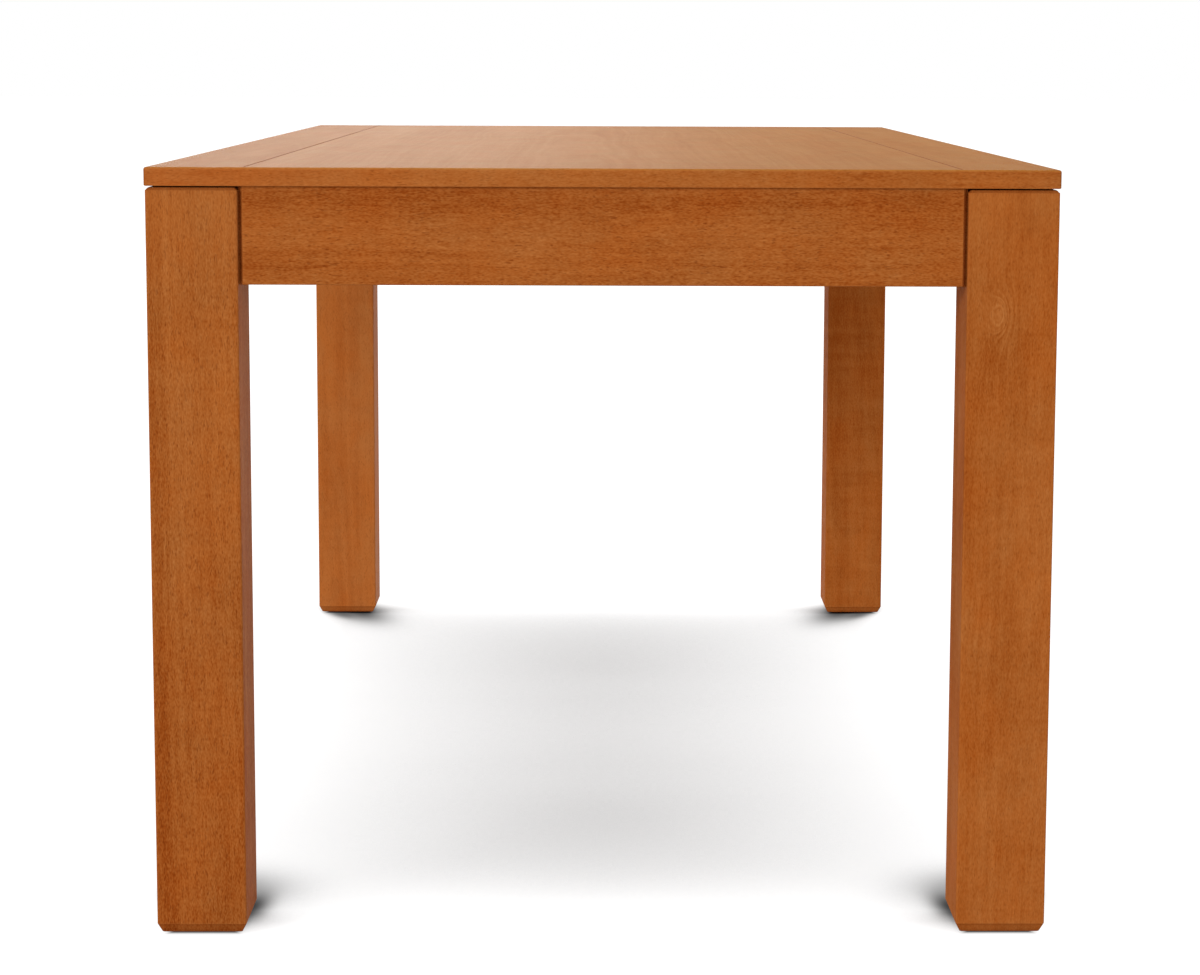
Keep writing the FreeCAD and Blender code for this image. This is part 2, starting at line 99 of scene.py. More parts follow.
@dataclass
class Surface:
    """A closed mesh in the making.

    Attributes:
        points: (n, 3) places in metres.
        faces: rows of point numbers.
        arris: one value per point, 1 on a worn, rounded edge and -1 where the stain pools; below 0 on the
            legs' feet it is painted shade.
    """

    points: np.ndarray
    faces: list[list[int]]
    arris: np.ndarray

    @classmethod
    def from_rings(cls, rings: np.ndarray, arris: np.ndarray | None = None,
                   closed: bool = False) -> "Surface":
        """Skin over a row of closed rings.

        Each quad joins a point to the next one round the ring and to the same two on the next
        ring. The row's two ends get a flat cap, or are joined to each other.

        Args:
            rings: points as (stations, points around, 3).
            arris: wear value per point as (stations, points around).
            closed: whether the last ring is joined to the first.

        Returns:
            The closed surface.
        """
        stations, around = rings.shape[:2]
        numbers = np.arange(stations * around).reshape(stations, around)
        rows = np.vstack([numbers, numbers[:1]]) if closed else numbers
        ahead = np.roll(rows, -1, axis=1)
        quads = np.stack([rows[:-1], ahead[:-1], ahead[1:], rows[1:]], axis=-1)
        faces = quads.reshape(-1, 4).tolist()
        if not closed:
            faces += [numbers[0, ::-1].tolist(), numbers[-1].tolist()]
        wear = np.zeros(rings.shape[:2]) if arris is None else arris
        return cls(rings.reshape(-1, 3), faces, wear.reshape(-1))

    @classmethod
    def joined(cls, parts: list["Surface"]) -> "Surface":
        """One surface of several separate shells.

        Args:
            parts: the shells.

        Returns:
            The surface that holds them all.
        """
        starts = np.cumsum([0] + [len(part.points) for part in parts[:-1]])
        faces = [[number + int(start) for number in face]
                 for part, start in zip(parts, starts) for face in part.faces]
        return cls(np.vstack([part.points for part in parts]), faces,
                   np.concatenate([part.arris for part in parts]))

    def placed(self, origin: np.ndarray, direction: np.ndarray) -> "Surface":
        """Copy whose own +Z runs along a direction from an origin, turned and never mirrored.

        Args:
            origin: where the surface's own zero goes.
            direction: unit vector of its own +Z.

        Returns:
            The moved surface.
        """
        least_upright = 0.9
        upright = abs(direction[2]) > least_upright
        side = np.cross([1.0, 0.0, 0.0] if upright else [0.0, 0.0, 1.0], direction)
        side /= np.linalg.norm(side)
        basis = np.stack([side, np.cross(direction, side), direction])
        return Surface(self.points @ basis + origin, self.faces, self.arris)


def softened(corners: np.ndarray, reach: float, steps: int, closed: bool = False) -> np.ndarray:
    """Outline with every corner rounded.

    Each corner becomes a parabola between the two points that lie at the reach from it, or
    just short of the middle of a short side: (1-t)^2 of the first, 2t(1-t) of the corner and
    t^2 of the second.

    Args:
        corners: (n, k) points.
        reach: how far from the corner the rounding starts.
        steps: segments in each rounding.
        closed: whether the last point is joined to the first.

    Returns:
        The rounded outline's points, with the two end points kept if it is open.
    """
    largest_share, no_length = 0.45, 1e-9
    ends = []
    for neighbour in (1, -1):
        side = np.roll(corners, neighbour, axis=0) - corners
        length = np.maximum(np.linalg.norm(side, axis=1, keepdims=True), no_length)
        ends.append((corners + side * np.minimum(largest_share, reach / length))[:, None])
    t = np.linspace(0.0, 1.0, steps + 1)[None, :, None]
    curve = (1 - t) ** 2 * ends[0] + 2 * t * (1 - t) * corners[:, None] + t ** 2 * ends[1]
    if closed:
        return curve.reshape(-1, corners.shape[1])
    inner = curve[1:-1].reshape(-1, corners.shape[1])
    return np.vstack([corners[:1], inner, corners[-1:]])


def rounded_rectangles(low: np.ndarray, high: np.ndarray, cuts: np.ndarray, arcs: np.ndarray,
                       steps: int) -> tuple[np.ndarray, np.ndarray]:
    """Rectangles with each corner rounded or cut off, one for each station.

    A corner point is the arc's centre plus its cut times (cos a, sin a), where a turns 90
    degrees, or times the straight line between the arc's ends where arcs is 0.

    Args:
        low: (stations, 2) lowest corner.
        high: (stations, 2) highest corner.
        cuts: (stations, 4) radius or cut at the corners, from high-high anticlockwise.
        arcs: (stations, 4) 1 for an arc and 0 for a straight cut.
        steps: segments in each corner.

    Returns:
        (stations, 4 * (steps + 1), 2) points, and the wear value of each point.
    """
    signs = np.array([[1, 1], [-1, 1], [-1, -1], [1, -1]], dtype=float)
    corner = np.where(signs[None] > 0, high[:, None], low[:, None])
    centre = corner - signs[None] * cuts[:, :, None]
    t = np.linspace(0.0, 1.0, steps + 1)
    quarter = np.arange(4)[:, None] * math.pi / 2
    turn = quarter + t[None, :] * math.pi / 2
    arc = np.stack([np.cos(turn), np.sin(turn)], axis=-1)
    line = arc[:, :1] * (1 - t)[None, :, None] + arc[:, -1:] * t[None, :, None]
    shape = arcs[:, :, None, None] * arc[None] + (1 - arcs[:, :, None, None]) * line[None]
    points = centre[:, :, None] + cuts[:, :, None, None] * shape
    wear = np.broadcast_to(np.sin(t * math.pi), points.shape[:3])
    return points.reshape(len(low), -1, 2), wear.reshape(len(low), -1).copy()


def turned_rings(profile: np.ndarray, around: int) -> np.ndarray:
    """Rings of a profile turned about its own Z.

    A profile point (r, z) becomes the ring (r cos a, r sin a, z).

    Args:
        profile: (n, 2) radius and height.
        around: segments round the axis.

    Returns:
        (n, around, 3) points.
    """
    angle = np.linspace(0.0, 2 * math.pi, around, endpoint=False)
    radius = profile[:, :1]
    return np.stack([radius * np.cos(angle), radius * np.sin(angle),
                     np.broadcast_to(profile[:, 1:], (len(profile), around))], axis=-1)


def solids_of(node: str) -> list[np.ndarray]:
    """Points of each separate solid of a CAD node.

    Corners at one place count as one, and each starts with its own number. Every triangle then
    gives its corners the least number among them, until no number changes.

    Args:
        node: the CAD node's name.

    Returns:
        One (n, 3) array for each solid.
    """
    grid = 0.001 * MM
    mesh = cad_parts[node].data
    places = np.empty(len(mesh.vertices) * 3)
    mesh.vertices.foreach_get("co", places)
    corners = np.empty(len(mesh.loops), dtype=np.int64)
    mesh.loops.foreach_get("vertex_index", corners)
    rounded = np.round(places.reshape(-1, 3) / grid).astype(np.int64)
    points, number = np.unique(rounded, axis=0, return_inverse=True)
    triangles = number.reshape(-1)[corners].reshape(-1, 3)
    label = np.arange(len(points))
    while True:
        least = label[triangles].min(axis=1)
        spread = label.copy()
        np.minimum.at(spread, triangles, np.broadcast_to(least[:, None], triangles.shape))
        spread = spread[spread]
        if np.array_equal(spread, label):
            break
        label = spread
    return [points[label == own] * grid for own in np.unique(label)]


# --------------------------------------------------------------------------------- publishing


def publish(name: str, surface: Surface, material: bpy.types.Material, nodes: list[str]) -> bpy.types.Object:
    """Make a surface an object of the scene that stands for CAD nodes.

    Args:
        name: the piece's name.
        surface: its points and faces.
        material: its finish.
        nodes: the CAD nodes that it replaces.

    Returns:
        The new object, riding on the table's body.
    """
    mesh = bpy.data.meshes.new(name)
    mesh.from_pydata(surface.points.tolist(), [], surface.faces)
    arris = mesh.attributes.new("arris", "FLOAT", "POINT")
    arris.data.foreach_set("value", surface.arris.astype(np.float32))
    shell = bmesh.new()
    shell.from_mesh(mesh)
    bmesh.ops.recalc_face_normals(shell, faces=shell.faces)
    shell.to_mesh(mesh)
    shell.free()
    mesh.polygons.foreach_set("use_smooth", np.ones(len(mesh.polygons), dtype=bool))
    mesh.set_sharp_from_angle(angle=SMOOTH_ANGLE)
    piece = bpy.data.objects.new(name, mesh)
    bpy.context.collection.objects.link(piece)
    weighted = piece.modifiers.new("even_normals", "WEIGHTED_NORMAL")
    weighted.keep_sharp = True
    weighted.weight = FACE_AREA_WEIGHT
    mesh.materials.append(material)
    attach(piece, BODY)
    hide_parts(*nodes)
    log.info("%s: %d faces, stands for %s", name, len(mesh.polygons), ", ".join(nodes))
    return piece


def dress(node: str, material: bpy.types.Material) -> None:
    """Give a CAD node that stays in view its finish.

    Args:
        node: the CAD node's name.
        material: its finish.
    """
    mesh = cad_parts[node].data
    mesh.materials.clear()
    mesh.materials.append(material)
    log.info("%s: CAD piece, finish %s", node, material.name)


# ----------------------------------------------------------------------------------- finishes


class Weave:
    """Short way to write the nodes of a material or of the world.

    Most calls add one node and return its output.
    """

    def __init__(self, owner: bpy.types.Material | bpy.types.World) -> None:
        """Start with no nodes.

        Args:
            owner: the material or world that gets the nodes.
        """
        self.owner = owner
        owner.use_nodes = True
        self.tree = owner.node_tree
        self.tree.nodes.clear()

    def add(self, kind: str, inputs: dict[str | int, object] | None = None,
            **settings: object) -> bpy.types.Node:
        """Add a node.

        Args:
            kind: the node's type name after ShaderNode.
            inputs: socket name or number, and its value or the output that feeds it.
            settings: properties of the node.

        Returns:
            The node.
        """
        node = self.tree.nodes.new("ShaderNode" + kind)
        for key, value in settings.items():
            setattr(node, key, value)
        for key, value in (inputs or {}).items():
            if isinstance(value, bpy.types.NodeSocket):
                self.tree.links.new(value, node.inputs[key])
            else:
                node.inputs[key].default_value = value
        return node

    def maths(self, operation: str, first: Socket | float, second: Socket | float = 0.0) -> Socket:
        """Result of one operation on two numbers."""
        return self.add("Math", {0: first, 1: second}, operation=operation).outputs[0]

    def plus(self, first: Socket | float, second: Socket | float) -> Socket:
        """Sum of two numbers."""
        return self.maths("ADD", first, second)

    def minus(self, first: Socket | float, second: Socket | float) -> Socket:
        """First number less the second."""
        return self.maths("SUBTRACT", first, second)

    def times(self, first: Socket | float, second: Socket | float) -> Socket:
        """Product of two numbers."""
        return self.maths("MULTIPLY", first, second)

    def over(self, first: Socket | float, second: Socket | float) -> Socket:
        """First number divided by the second."""
        return self.maths("DIVIDE", first, second)

    def larger(self, first: Socket | float, second: Socket | float) -> Socket:
        """Larger of two numbers."""
        return self.maths("MAXIMUM", first, second)

    def unsigned(self, value: Socket) -> Socket:
        """Number without its sign."""
        return self.maths("ABSOLUTE", value)

    def falloff(self, value: Socket, power: float = 2.0) -> Socket:
        """e to the power of minus the value's size raised to a power: 1 at zero, 0 far off."""
        raised = self.maths("POWER", self.unsigned(value), power)
        return self.maths("EXPONENT", self.times(raised, -1.0))

    def length(self, vector: Socket) -> Socket:
        """Length of a vector."""
        return self.add("VectorMath", {0: vector}, operation="LENGTH").outputs["Value"]

    def scaled(self, vector: Socket, factors: Socket | Point) -> Socket:
        """Vector or colour with each component multiplied."""
        return self.add("VectorMath", {0: vector, 1: factors}, operation="MULTIPLY").outputs[0]

    def moved(self, vector: Socket, offset: Socket | Point) -> Socket:
        """Vector with another one added."""
        return self.add("VectorMath", {0: vector, 1: offset}, operation="ADD").outputs[0]

    def parts(self, vector: Socket) -> bpy.types.bpy_prop_collection:
        """The three components of a vector, by number or by the names X, Y and Z."""
        return self.add("SeparateXYZ", {0: vector}).outputs

    def noise(self, vector: Socket, scale: float = 1.0, detail: float = 2.0,
              roughness: float = 0.5) -> Socket:
        """Smooth noise between 0 and 1."""
        return self.add("TexNoise", {"Vector": vector, "Scale": scale, "Detail": detail,
                                     "Roughness": roughness}).outputs["Fac"]

    def ranged(self, value: Socket, low: float, high: float, to_low: float = 0.0,
               to_high: float = 1.0) -> Socket:
        """Number carried from one range to another, held at its ends."""
        return self.add("MapRange", {"Value": value, "From Min": low, "From Max": high,
                                     "To Min": to_low, "To Max": to_high}).outputs["Result"]

    def blended(self, factor: Socket | float, first: Socket | Colour,
                second: Socket | Colour) -> Socket:
        """Colour between two colours.

        Args:
            factor: 0 for the first colour and 1 for the second, held between them.
            first: a colour, or a socket that gives one.
            second: the same.

        Returns:
            The blend's output.
        """
        colour_a, colour_b, colour_out = 6, 7, 2  # the Mix node's own sockets for colours
        ends = [value if isinstance(value, bpy.types.NodeSocket) else (*value, 1.0)
                for value in (first, second)]
        return self.add("Mix", {0: factor, colour_a: ends[0], colour_b: ends[1]},
                        data_type="RGBA", clamp_factor=True).outputs[colour_out]

    def relief(self, height: Socket, strength: float, depth: float) -> Socket:
        """Normal of a surface whose relief follows a height."""
        return self.add("Bump", {"Strength": strength, "Distance": depth,
                                 "Height": height}).outputs[0]

    def seen(self) -> Socket:
        """Whether the ray comes from the eye, or from a glossy or clear surface.

        Returns:
            1 where it does, and else 0.
        """
        path = self.add("LightPath").outputs
        direct = self.larger(path["Is Camera Ray"], path["Is Glossy Ray"])
        return self.larger(direct, path["Is Transmission Ray"])

    def finish(self, shader: Socket) -> bpy.types.Material | bpy.types.World:
        """Join a shader to the output.

        Args:
            shader: the shader's output.

        Returns:
            The material or world.
        """
        kind = "OutputWorld" if isinstance(self.owner, bpy.types.World) else "OutputMaterial"
        self.add(kind, {"Surface": shader})
        return self.owner


@dataclass(frozen=True)
class Figure:
    """How one board's wood is figured. Lengths are in metres.

    Attributes:
        seed: moves the board to another place in the wood.
        pith: where the rings' centre lies from the board's own centre, in its two cross axes.
        tone: shifts the whole board lighter or darker.
        mottle: strength of the broad cloudy patches.
        curl: strength of the bands that cross the grain.
        eye: centre of a swirl in the figure, in the model's frame, or None.
        lean: how far the grain leans across, per metre along the board.
        speckle: strength of the fine fibres and flecks.
        streak: strength of the long, soft streaks along the grain.
        drift: how much the tone rises, per metre along the board.
        blush: how much redder the stain is at the board's middle, and how much that rises per
            metre along the board. It counts between 0 and 1.
        lacquer: how thick the lacquer lies, as a share of the finish's full gloss.
        bands: darker bands along the board, each with the number of the board's own axis that
            it is placed on (1 or 2), its place there, its half width and its depth of tone.
    """

    seed: float
    pith: tuple[float, float] = (0.12, 0.05)
    tone: float = 0.0
    mottle: float = 1.0
    curl: float = 0.12
    eye: Point | None = None
    lean: float = 0.012
    speckle: float = 1.0
    streak: float = 1.0
    drift: float = 0.0
    blush: tuple[float, float] = (0.0, 0.0)
    lacquer: float = 1.0
    bands: tuple[tuple[int, float, float, float], ...] = ()


@dataclass(frozen=True)
class Cloud:
    """One noise in the wood.

    Attributes:
        along: its scale along the grain, per metre.
        across: its scale across the grain.
        shift: keeps it apart from the other noises.
        detail: octaves.
        weight: how much it adds to the sum that it is part of.
    """

    along: float
    across: float
    shift: float
    detail: float
    weight: float = 1.0


@dataclass(frozen=True)
class StainedWood:
    """Close-grained hardwood under a honey-brown stain and a satin lacquer.

    Attributes:
        deep: colour of the pores, of stain that has pooled in a groove, and of painted shade on the legs'
            feet.
        dark: colour of the darker fibres.
        middle: colour of most of the wood.
        light: colour of the brightest fibres.
        stops: tones at which the wood has these four colours.
        warm_cast: tint of the wood's warmer patches.
        cool_cast: tint of its cooler patches.
        blush_tint: tint of a board that blushes fully.
        patches: the noise that the warmer and cooler patches follow.
        patch_range: noise at which a patch is fully warm, and fully cool.
        pores: the noise that the pores follow.
        pore_range: noise at which a pore starts, and is full.
        ring_spacing: mean width of a growth ring.
        ring_weight: how much the rings add to the tone.
        eye_scale: one over the swirl's reach, along and across the grain.
        eye_pull: how far the swirl draws the fibres in, as a share of their distance.
        eye_rings: how much a swirl strengthens the rings.
        eye_lift: how much the rings rise in a swirl, in metres.
        eye_tone: how much lighter a swirl is.
        roughness: of the lacquer.
        roughness_spread: how far it drifts with the tone.
        refraction: index of the lacquer.
        relief: height of the pores' and fibres' relief.
        fibre_relief: share of the relief that follows the tone.
        pore_relief: share of it that the pores are sunk by.
        pore_shade: how much darker a pore is.
        end_shade: how much darker the stain is on end grain.
        end_range: how far a face turns to the grain where that starts, and is full.
        upward_sheen_range: how far a face turns upwards where the other stain, with its painted warm
            reflection, starts, and is full.
        pool_shade: how much darker the stain is in a groove, and the painted shade on the legs' feet at its
            darkest.
        wear: how much lighter a rounded arris is.
    """

    deep: Colour
    dark: Colour
    middle: Colour
    light: Colour
    stops: tuple[float, float, float, float] = (0.05, 0.27, 0.5, 0.85)
    warm_cast: Colour = (1.02, 0.955, 0.84)
    cool_cast: Colour = (0.98, 1.04, 1.14)
    blush_tint: Colour = (0.98, 0.79, 0.62)
    patches: Cloud = Cloud(12.0, 20.0, 7.0, 4.0)
    patch_range: tuple[float, float] = (0.35, 0.65)
    pores: Cloud = Cloud(210.0, 900.0, 47.0, 0.0)
    pore_range: tuple[float, float] = (0.64, 0.78)
    ring_spacing: float = 0.0065
    ring_weight: float = 0.16
    eye_scale: Point = (44.0, 85.0, 85.0)
    eye_pull: float = 0.5
    eye_rings: float = 0.9
    eye_lift: float = 0.03
    eye_tone: float = 0.14
    roughness: float = 0.58
    roughness_spread: float = 0.03
    refraction: float = 1.1
    relief: float = 0.12 * MM
    fibre_relief: float = 0.8
    pore_relief: float = 0.6
    pore_shade: float = 0.45
    end_shade: float = 0.45
    end_range: tuple[float, float] = (0.15, 0.9)
    upward_sheen_range: tuple[float, float] = (0.2, 0.9)
    pool_shade: float = 0.9
    wear: float = 0.22

    def board_space(self, weave: Weave, way: GrainWay, centre: Point, figure: Figure) -> Socket:
        """Position in the board: along the grain, then across it both ways, about its centre.

        Args:
            weave: the material in the making.
            way: the axis of the grain.
            centre: the board's centre.
            figure: the board's own figure.

        Returns:
            The position's vector output.
        """
        object_space = weave.add("TexCoord").outputs["Object"]
        parts = weave.parts(weave.moved(object_space, tuple(-value for value in centre)))
        along, first, second = (parts[axis] for axis in way.value)
        leaning = weave.plus(first, weave.times(along, figure.lean))
        return weave.add("CombineXYZ", {0: along, 1: leaning, 2: second}).outputs[0]

    def grained(self, weave: Weave, place: Socket, cloud: Cloud, seed: float,
                roughness: float = 0.5) -> Socket:
        """Noise that is stretched along the grain.

        Args:
            weave: the material in the making.
            place: position in the board.
            cloud: the noise's scales, shift and octaves.
            seed: the board's own shift.
            roughness: how much the finer octaves count.

        Returns:
            A number between 0 and 1.
        """
        scales = (cloud.along, cloud.across, cloud.across)
        where = weave.moved(weave.scaled(place, scales), (seed + cloud.shift,) * 3)
        return weave.noise(where, detail=cloud.detail, roughness=roughness)

    def ring_tone(self, weave: Weave, place: Socket, figure: Figure,
                  bell: Socket | float) -> Socket:
        """Tone of the growth rings.

        The distance from the pith line, bent by slow noise and lifted round an eye by its bell
        curve, is divided by the ring spacing and looked up in one-dimensional noise.

        Args:
            weave: the material in the making.
            place: position in the board.
            figure: the board's own figure.
            bell: how near the place is to the swirl's centre.

        Returns:
            A number between 0 and 1.
        """
        slow_bend = Cloud(1.6, 9.0, 0.0, 1.5, 0.045)
        ripple = Cloud(14.0, 60.0, figure.seed, 2.0, 0.0022)
        flat = weave.moved(weave.scaled(place, (0.0, 1.0, 1.0)), (0.0, *figure.pith))
        bent = weave.length(flat)
        for cloud in (slow_bend, ripple):
            bend = self.grained(weave, place, cloud, figure.seed)
            bent = weave.plus(bent, weave.times(bend, cloud.weight))
        bent = weave.plus(bent, weave.times(bell, self.eye_lift))
        count = weave.over(bent, self.ring_spacing)
        return weave.add("TexNoise", {"W": count, "Scale": 1.0, "Detail": 2.0, "Roughness": 0.6},
                         noise_dimensions="1D").outputs["Fac"]

    def eye_space(self, weave: Weave, place: Socket,
                  eye: Point | None) -> tuple[Socket, Socket | float]:
        """Position in the board with the fibres parted round an eye.

        A bell curve is 1 at the eye and 0 away from it. The position's distance across the
        grain from the eye is shortened by up to the pull's share of itself where the bell is
        high.

        Args:
            weave: the material in the making.
            place: position in the board.
            eye: the swirl's centre in the board's own axes, or None.

        Returns:
            The new position, and the bell's value.
        """
        if eye is None:
            return place, 0.0
        away = weave.moved(place, tuple(-value for value in eye))
        bell = weave.falloff(weave.length(weave.scaled(away, self.eye_scale)))
        inwards = weave.scaled(away, (0.0, -self.eye_pull, -self.eye_pull))
        pull = weave.add("VectorMath", {0: inwards, "Scale": bell}, operation="SCALE").outputs[0]
        return weave.moved(place, pull), bell

    def tone(self, weave: Weave, straight: Socket, figure: Figure, eye: Point | None) -> Socket:
        """Lightness of the wood between 0 and 1, without its pores.

        It is the board's own tone, drifting along the board and lower in its bands, plus a sum
        of noises stretched along the grain, the curl that crosses it, and the growth rings.

        Args:
            weave: the material in the making.
            straight: position in the board.
            figure: the board's own figure.
            eye: the swirl's centre in the board's own axes, or None.

        Returns:
            The tone's output.
        """
        place, bell = self.eye_space(weave, straight, eye)
        specks = Cloud(300.0, 760.0, 3.1, 0.0, 0.46 * figure.speckle)
        flecks = Cloud(95.0, 430.0, 11.7, 1.0, 0.34 * figure.speckle)
        fibres = Cloud(22.0, 230.0, 17.3, 2.0, 0.22 * figure.speckle)
        streaks = Cloud(5.0, 85.0, 23.0, 2.0, 0.20 * figure.streak)
        soft_bands = Cloud(1.4, 26.0, 27.0, 1.0, 0.26 * figure.streak)
        mottle = Cloud(9.0, 20.0, 29.0, 2.0, 0.26 * figure.mottle)
        curl = Cloud(85.0, 11.0, 31.0, 1.5, figure.curl)
        parts = weave.parts(straight)
        total = weave.plus(weave.times(parts[0], figure.drift), 0.5 + figure.tone)
        for cloud in (specks, flecks, fibres, streaks, soft_bands, mottle, curl):
            level = self.grained(weave, place, cloud, figure.seed, roughness=0.6)
            total = weave.plus(total, weave.times(weave.minus(level, 0.5), cloud.weight))
        rings = weave.minus(self.ring_tone(weave, place, figure, bell), 0.5)
        ring_weight = weave.plus(weave.times(bell, self.eye_rings), self.ring_weight)
        total = weave.plus(total, weave.times(rings, ring_weight))
        total = weave.plus(total, weave.times(bell, self.eye_tone))
        for axis, across, half_width, depth in figure.bands:
            band = weave.falloff(weave.over(weave.minus(parts[axis], across), half_width))
            total = weave.minus(total, weave.times(band, depth))
        return total

    def stain_colour(self, weave: Weave, tone: Socket) -> Socket:
        """Colour that the stain gives wood of a tone.

        Args:
            weave: the material in the making.
            tone: the wood's lightness, between 0 and 1.

        Returns:
            The colour, from deep through dark and middle to light.
        """
        ramp = weave.add("ValToRGB", {0: tone})
        stops = ramp.color_ramp.elements
        colours = (self.deep, self.dark, self.middle, self.light)
        first, *between, last = zip(self.stops, colours)
        for stop, (position, colour) in zip(stops, (first, last)):
            stop.position, stop.color = position, (*colour, 1.0)
        for position, colour in between:
            stops.new(position).color = (*colour, 1.0)
        return ramp.outputs["Color"]

    def tinted(self, weave: Weave, colour: Socket, place: Socket, figure: Figure) -> Socket:
        """Stained colour with its warmer and cooler patches, and the board's blush.

        Args:
            weave: the material in the making.
            colour: the stain's colour.
            place: position in the board.
            figure: the board's own figure.

        Returns:
            The tinted colour.
        """
        patches = self.grained(weave, place, self.patches, figure.seed, roughness=0.65)
        coolness = weave.ranged(patches, *self.patch_range)
        colour = weave.scaled(colour, weave.blended(coolness, self.warm_cast, self.cool_cast))
        if figure.blush == (0.0, 0.0):
            return colour
        middle, rise = figure.blush
        amount = weave.plus(weave.times(weave.parts(place)[0], rise), middle)
        return weave.scaled(colour, weave.blended(amount, (1.0, 1.0, 1.0), self.blush_tint))

    def material(self, name: str, way: GrainWay, centre: Point, figure: Figure,
                 upper: "StainedWood | None" = None) -> bpy.types.Material:
        """Finish for one board.

        The tone picks the colour between dark and light; on faces turned upwards another stain can
        take over, and the top's is yellower to paint a warm reflection. Short dark pores are laid over
        it, end grain is darker, a rounded arris is a little lighter where the stain was sanded thin, and
        a groove is darker where it pooled; the same darkening paints shade on the legs' feet.

        Args:
            name: the material's name.
            way: the axis of the grain.
            centre: the board's centre.
            figure: the board's own figure.
            upper: stain for faces turned upwards, if another; the top's paints a warm reflection.

        Returns:
            The material.
        """
        weave = Weave(bpy.data.materials.new(name))
        place = self.board_space(weave, way, centre, figure)
        eye = None
        if figure.eye is not None:
            from_centre = dict(zip("XYZ", np.subtract(figure.eye, centre)))
            eye = tuple(float(from_centre[axis]) for axis in way.value)
        tone = self.tone(weave, place, figure, eye)
        normal = weave.parts(weave.add("TexCoord").outputs["Normal"])
        colour = self.stain_colour(weave, tone)
        # Faces turned upwards blend to the other stain; the top's is yellower, a painted warm reflection.
        if upper is not None:
            upwards = weave.ranged(normal["Z"], *self.upward_sheen_range)
            colour = weave.blended(upwards, colour, upper.stain_colour(weave, tone))
        colour = self.tinted(weave, colour, place, figure)

        pores = self.grained(weave, place, self.pores, figure.seed)
        pore_depth = weave.ranged(pores, *self.pore_range)
        facing = weave.unsigned(normal[way.value[0]])
        end_grain = weave.ranged(facing, *self.end_range, 0.0, self.end_shade)
        arris = weave.add("Attribute", attribute_name="arris").outputs["Fac"]
        # Below 0 the arris value darkens: stain pooled in a groove, and painted shade on the legs' feet.
        pooled = weave.ranged(arris, -1.0, 0.0, self.pool_shade, 0.0)
        worn = weave.ranged(arris, 0.0, 1.0, 0.0, self.wear)
        shade = weave.times(pore_depth, self.pore_shade * figure.speckle)
        shade = weave.larger(weave.larger(shade, end_grain), pooled)
        colour = weave.blended(worn, weave.blended(shade, colour, self.deep), self.light)

        height = weave.minus(weave.times(tone, self.fibre_relief),
                             weave.times(pore_depth, self.pore_relief))
        spread = self.roughness_spread
        gloss = weave.ranged(tone, *NOISE_SPAN, self.roughness + spread, self.roughness - spread)
        shader = weave.add("BsdfPrincipled", {
            "Base Color": colour, "Roughness": weave.larger(gloss, pooled),
            "Normal": weave.relief(height, strength=0.3, depth=self.relief),
            "IOR": 1.0 + (self.refraction - 1.0) * figure.lacquer})
        return weave.finish(shader.outputs[0])


@dataclass(frozen=True)
class PlatedSteel:
    """Zinc-plated steel with fine mottled crystals in the plating.

    Attributes:
        tint: colour of the bright crystals.
        shadow_tint: colour that the darkest crystals come near to.
        crystal_share: how near they come, as a share of the way from the tint.
        crystal_scale: crystals per metre.
        dust_scale: scale of the smooth noise in the roughness.
        roughness: where the dust is least, and where it is most.
        relief: height of the dust's relief.
    """

    tint: Colour
    shadow_tint: Colour
    crystal_share: float = 0.7
    crystal_scale: float = 900.0
    dust_scale: float = 260.0
    roughness: tuple[float, float] = (0.26, 0.46)
    relief: float = 0.05 * MM

    def material(self, name: str) -> bpy.types.Material:
        """Metal whose tint drifts with cell noise, and its roughness with smooth noise.

        Args:
            name: the material's name.

        Returns:
            The material.
        """
        weave = Weave(bpy.data.materials.new(name))
        place = weave.add("TexCoord").outputs["Object"]
        crystals = weave.add("TexVoronoi", {"Vector": place, "Scale": self.crystal_scale})
        grain = weave.add("SeparateColor", {0: crystals.outputs["Color"]}).outputs[0]
        dust = weave.noise(place, self.dust_scale, detail=3.0, roughness=0.6)
        darkness = weave.times(grain, self.crystal_share)
        shader = weave.add("BsdfPrincipled", {
            "Base Color": weave.blended(darkness, self.tint, self.shadow_tint), "Metallic": 1.0,
            "Roughness": weave.ranged(dust, *NOISE_SPAN, *self.roughness),
            "Normal": weave.relief(dust, strength=0.15, depth=self.relief)})
        return weave.finish(shader.outputs[0])


@dataclass(frozen=True)
class MouldedNylon:
    """Matte moulded plastic with a faint spark-eroded texture.

    Attributes:
        tint: colour of the plastic.
        darkening: share of the tint that its darkest places keep.
        speckle_scale: scale of the fine noise in the roughness and the relief.
        drift_scale: scale of the slow noise in the colour.
        roughness: where the speckle is least, and where it is most.
        relief: height of the speckle's relief.
    """

    tint: Colour
    darkening: float = 0.8
    speckle_scale: float = 2400.0
    drift_scale: float = 60.0
    roughness: tuple[float, float] = (0.54, 0.68)
    relief: float = 0.04 * MM

    def material(self, name: str) -> bpy.types.Material:
        """Plastic whose colour drifts slowly, and whose roughness and relief follow fine noise.

        Args:
            name: the material's name.

        Returns:
            The material.
        """
        weave = Weave(bpy.data.materials.new(name))
        place = weave.add("TexCoord").outputs["Object"]
        speckle = weave.noise(place, self.speckle_scale, roughness=0.6)
        darker = tuple(self.darkening * value for value in self.tint)
        shader = weave.add("BsdfPrincipled", {
            "Base Color": weave.blended(weave.noise(place, self.drift_scale), self.tint, darker),
            "Roughness": weave.ranged(speckle, *NOISE_SPAN, *self.roughness),
            "Normal": weave.relief(speckle, strength=0.2, depth=self.relief)})
        return weave.finish(shader.outputs[0])


def node_centre(node: str) -> Point:
    """Centre of a CAD node's box."""
    low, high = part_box(node)
    return tuple((low[axis] + high[axis]) / 2 for axis in range(3))


def node_array(node: str) -> tuple[np.ndarray, np.ndarray]:
    """Lowest and highest corner of a CAD node's box as arrays."""
    low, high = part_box(node)
    return np.array(low), np.array(high)


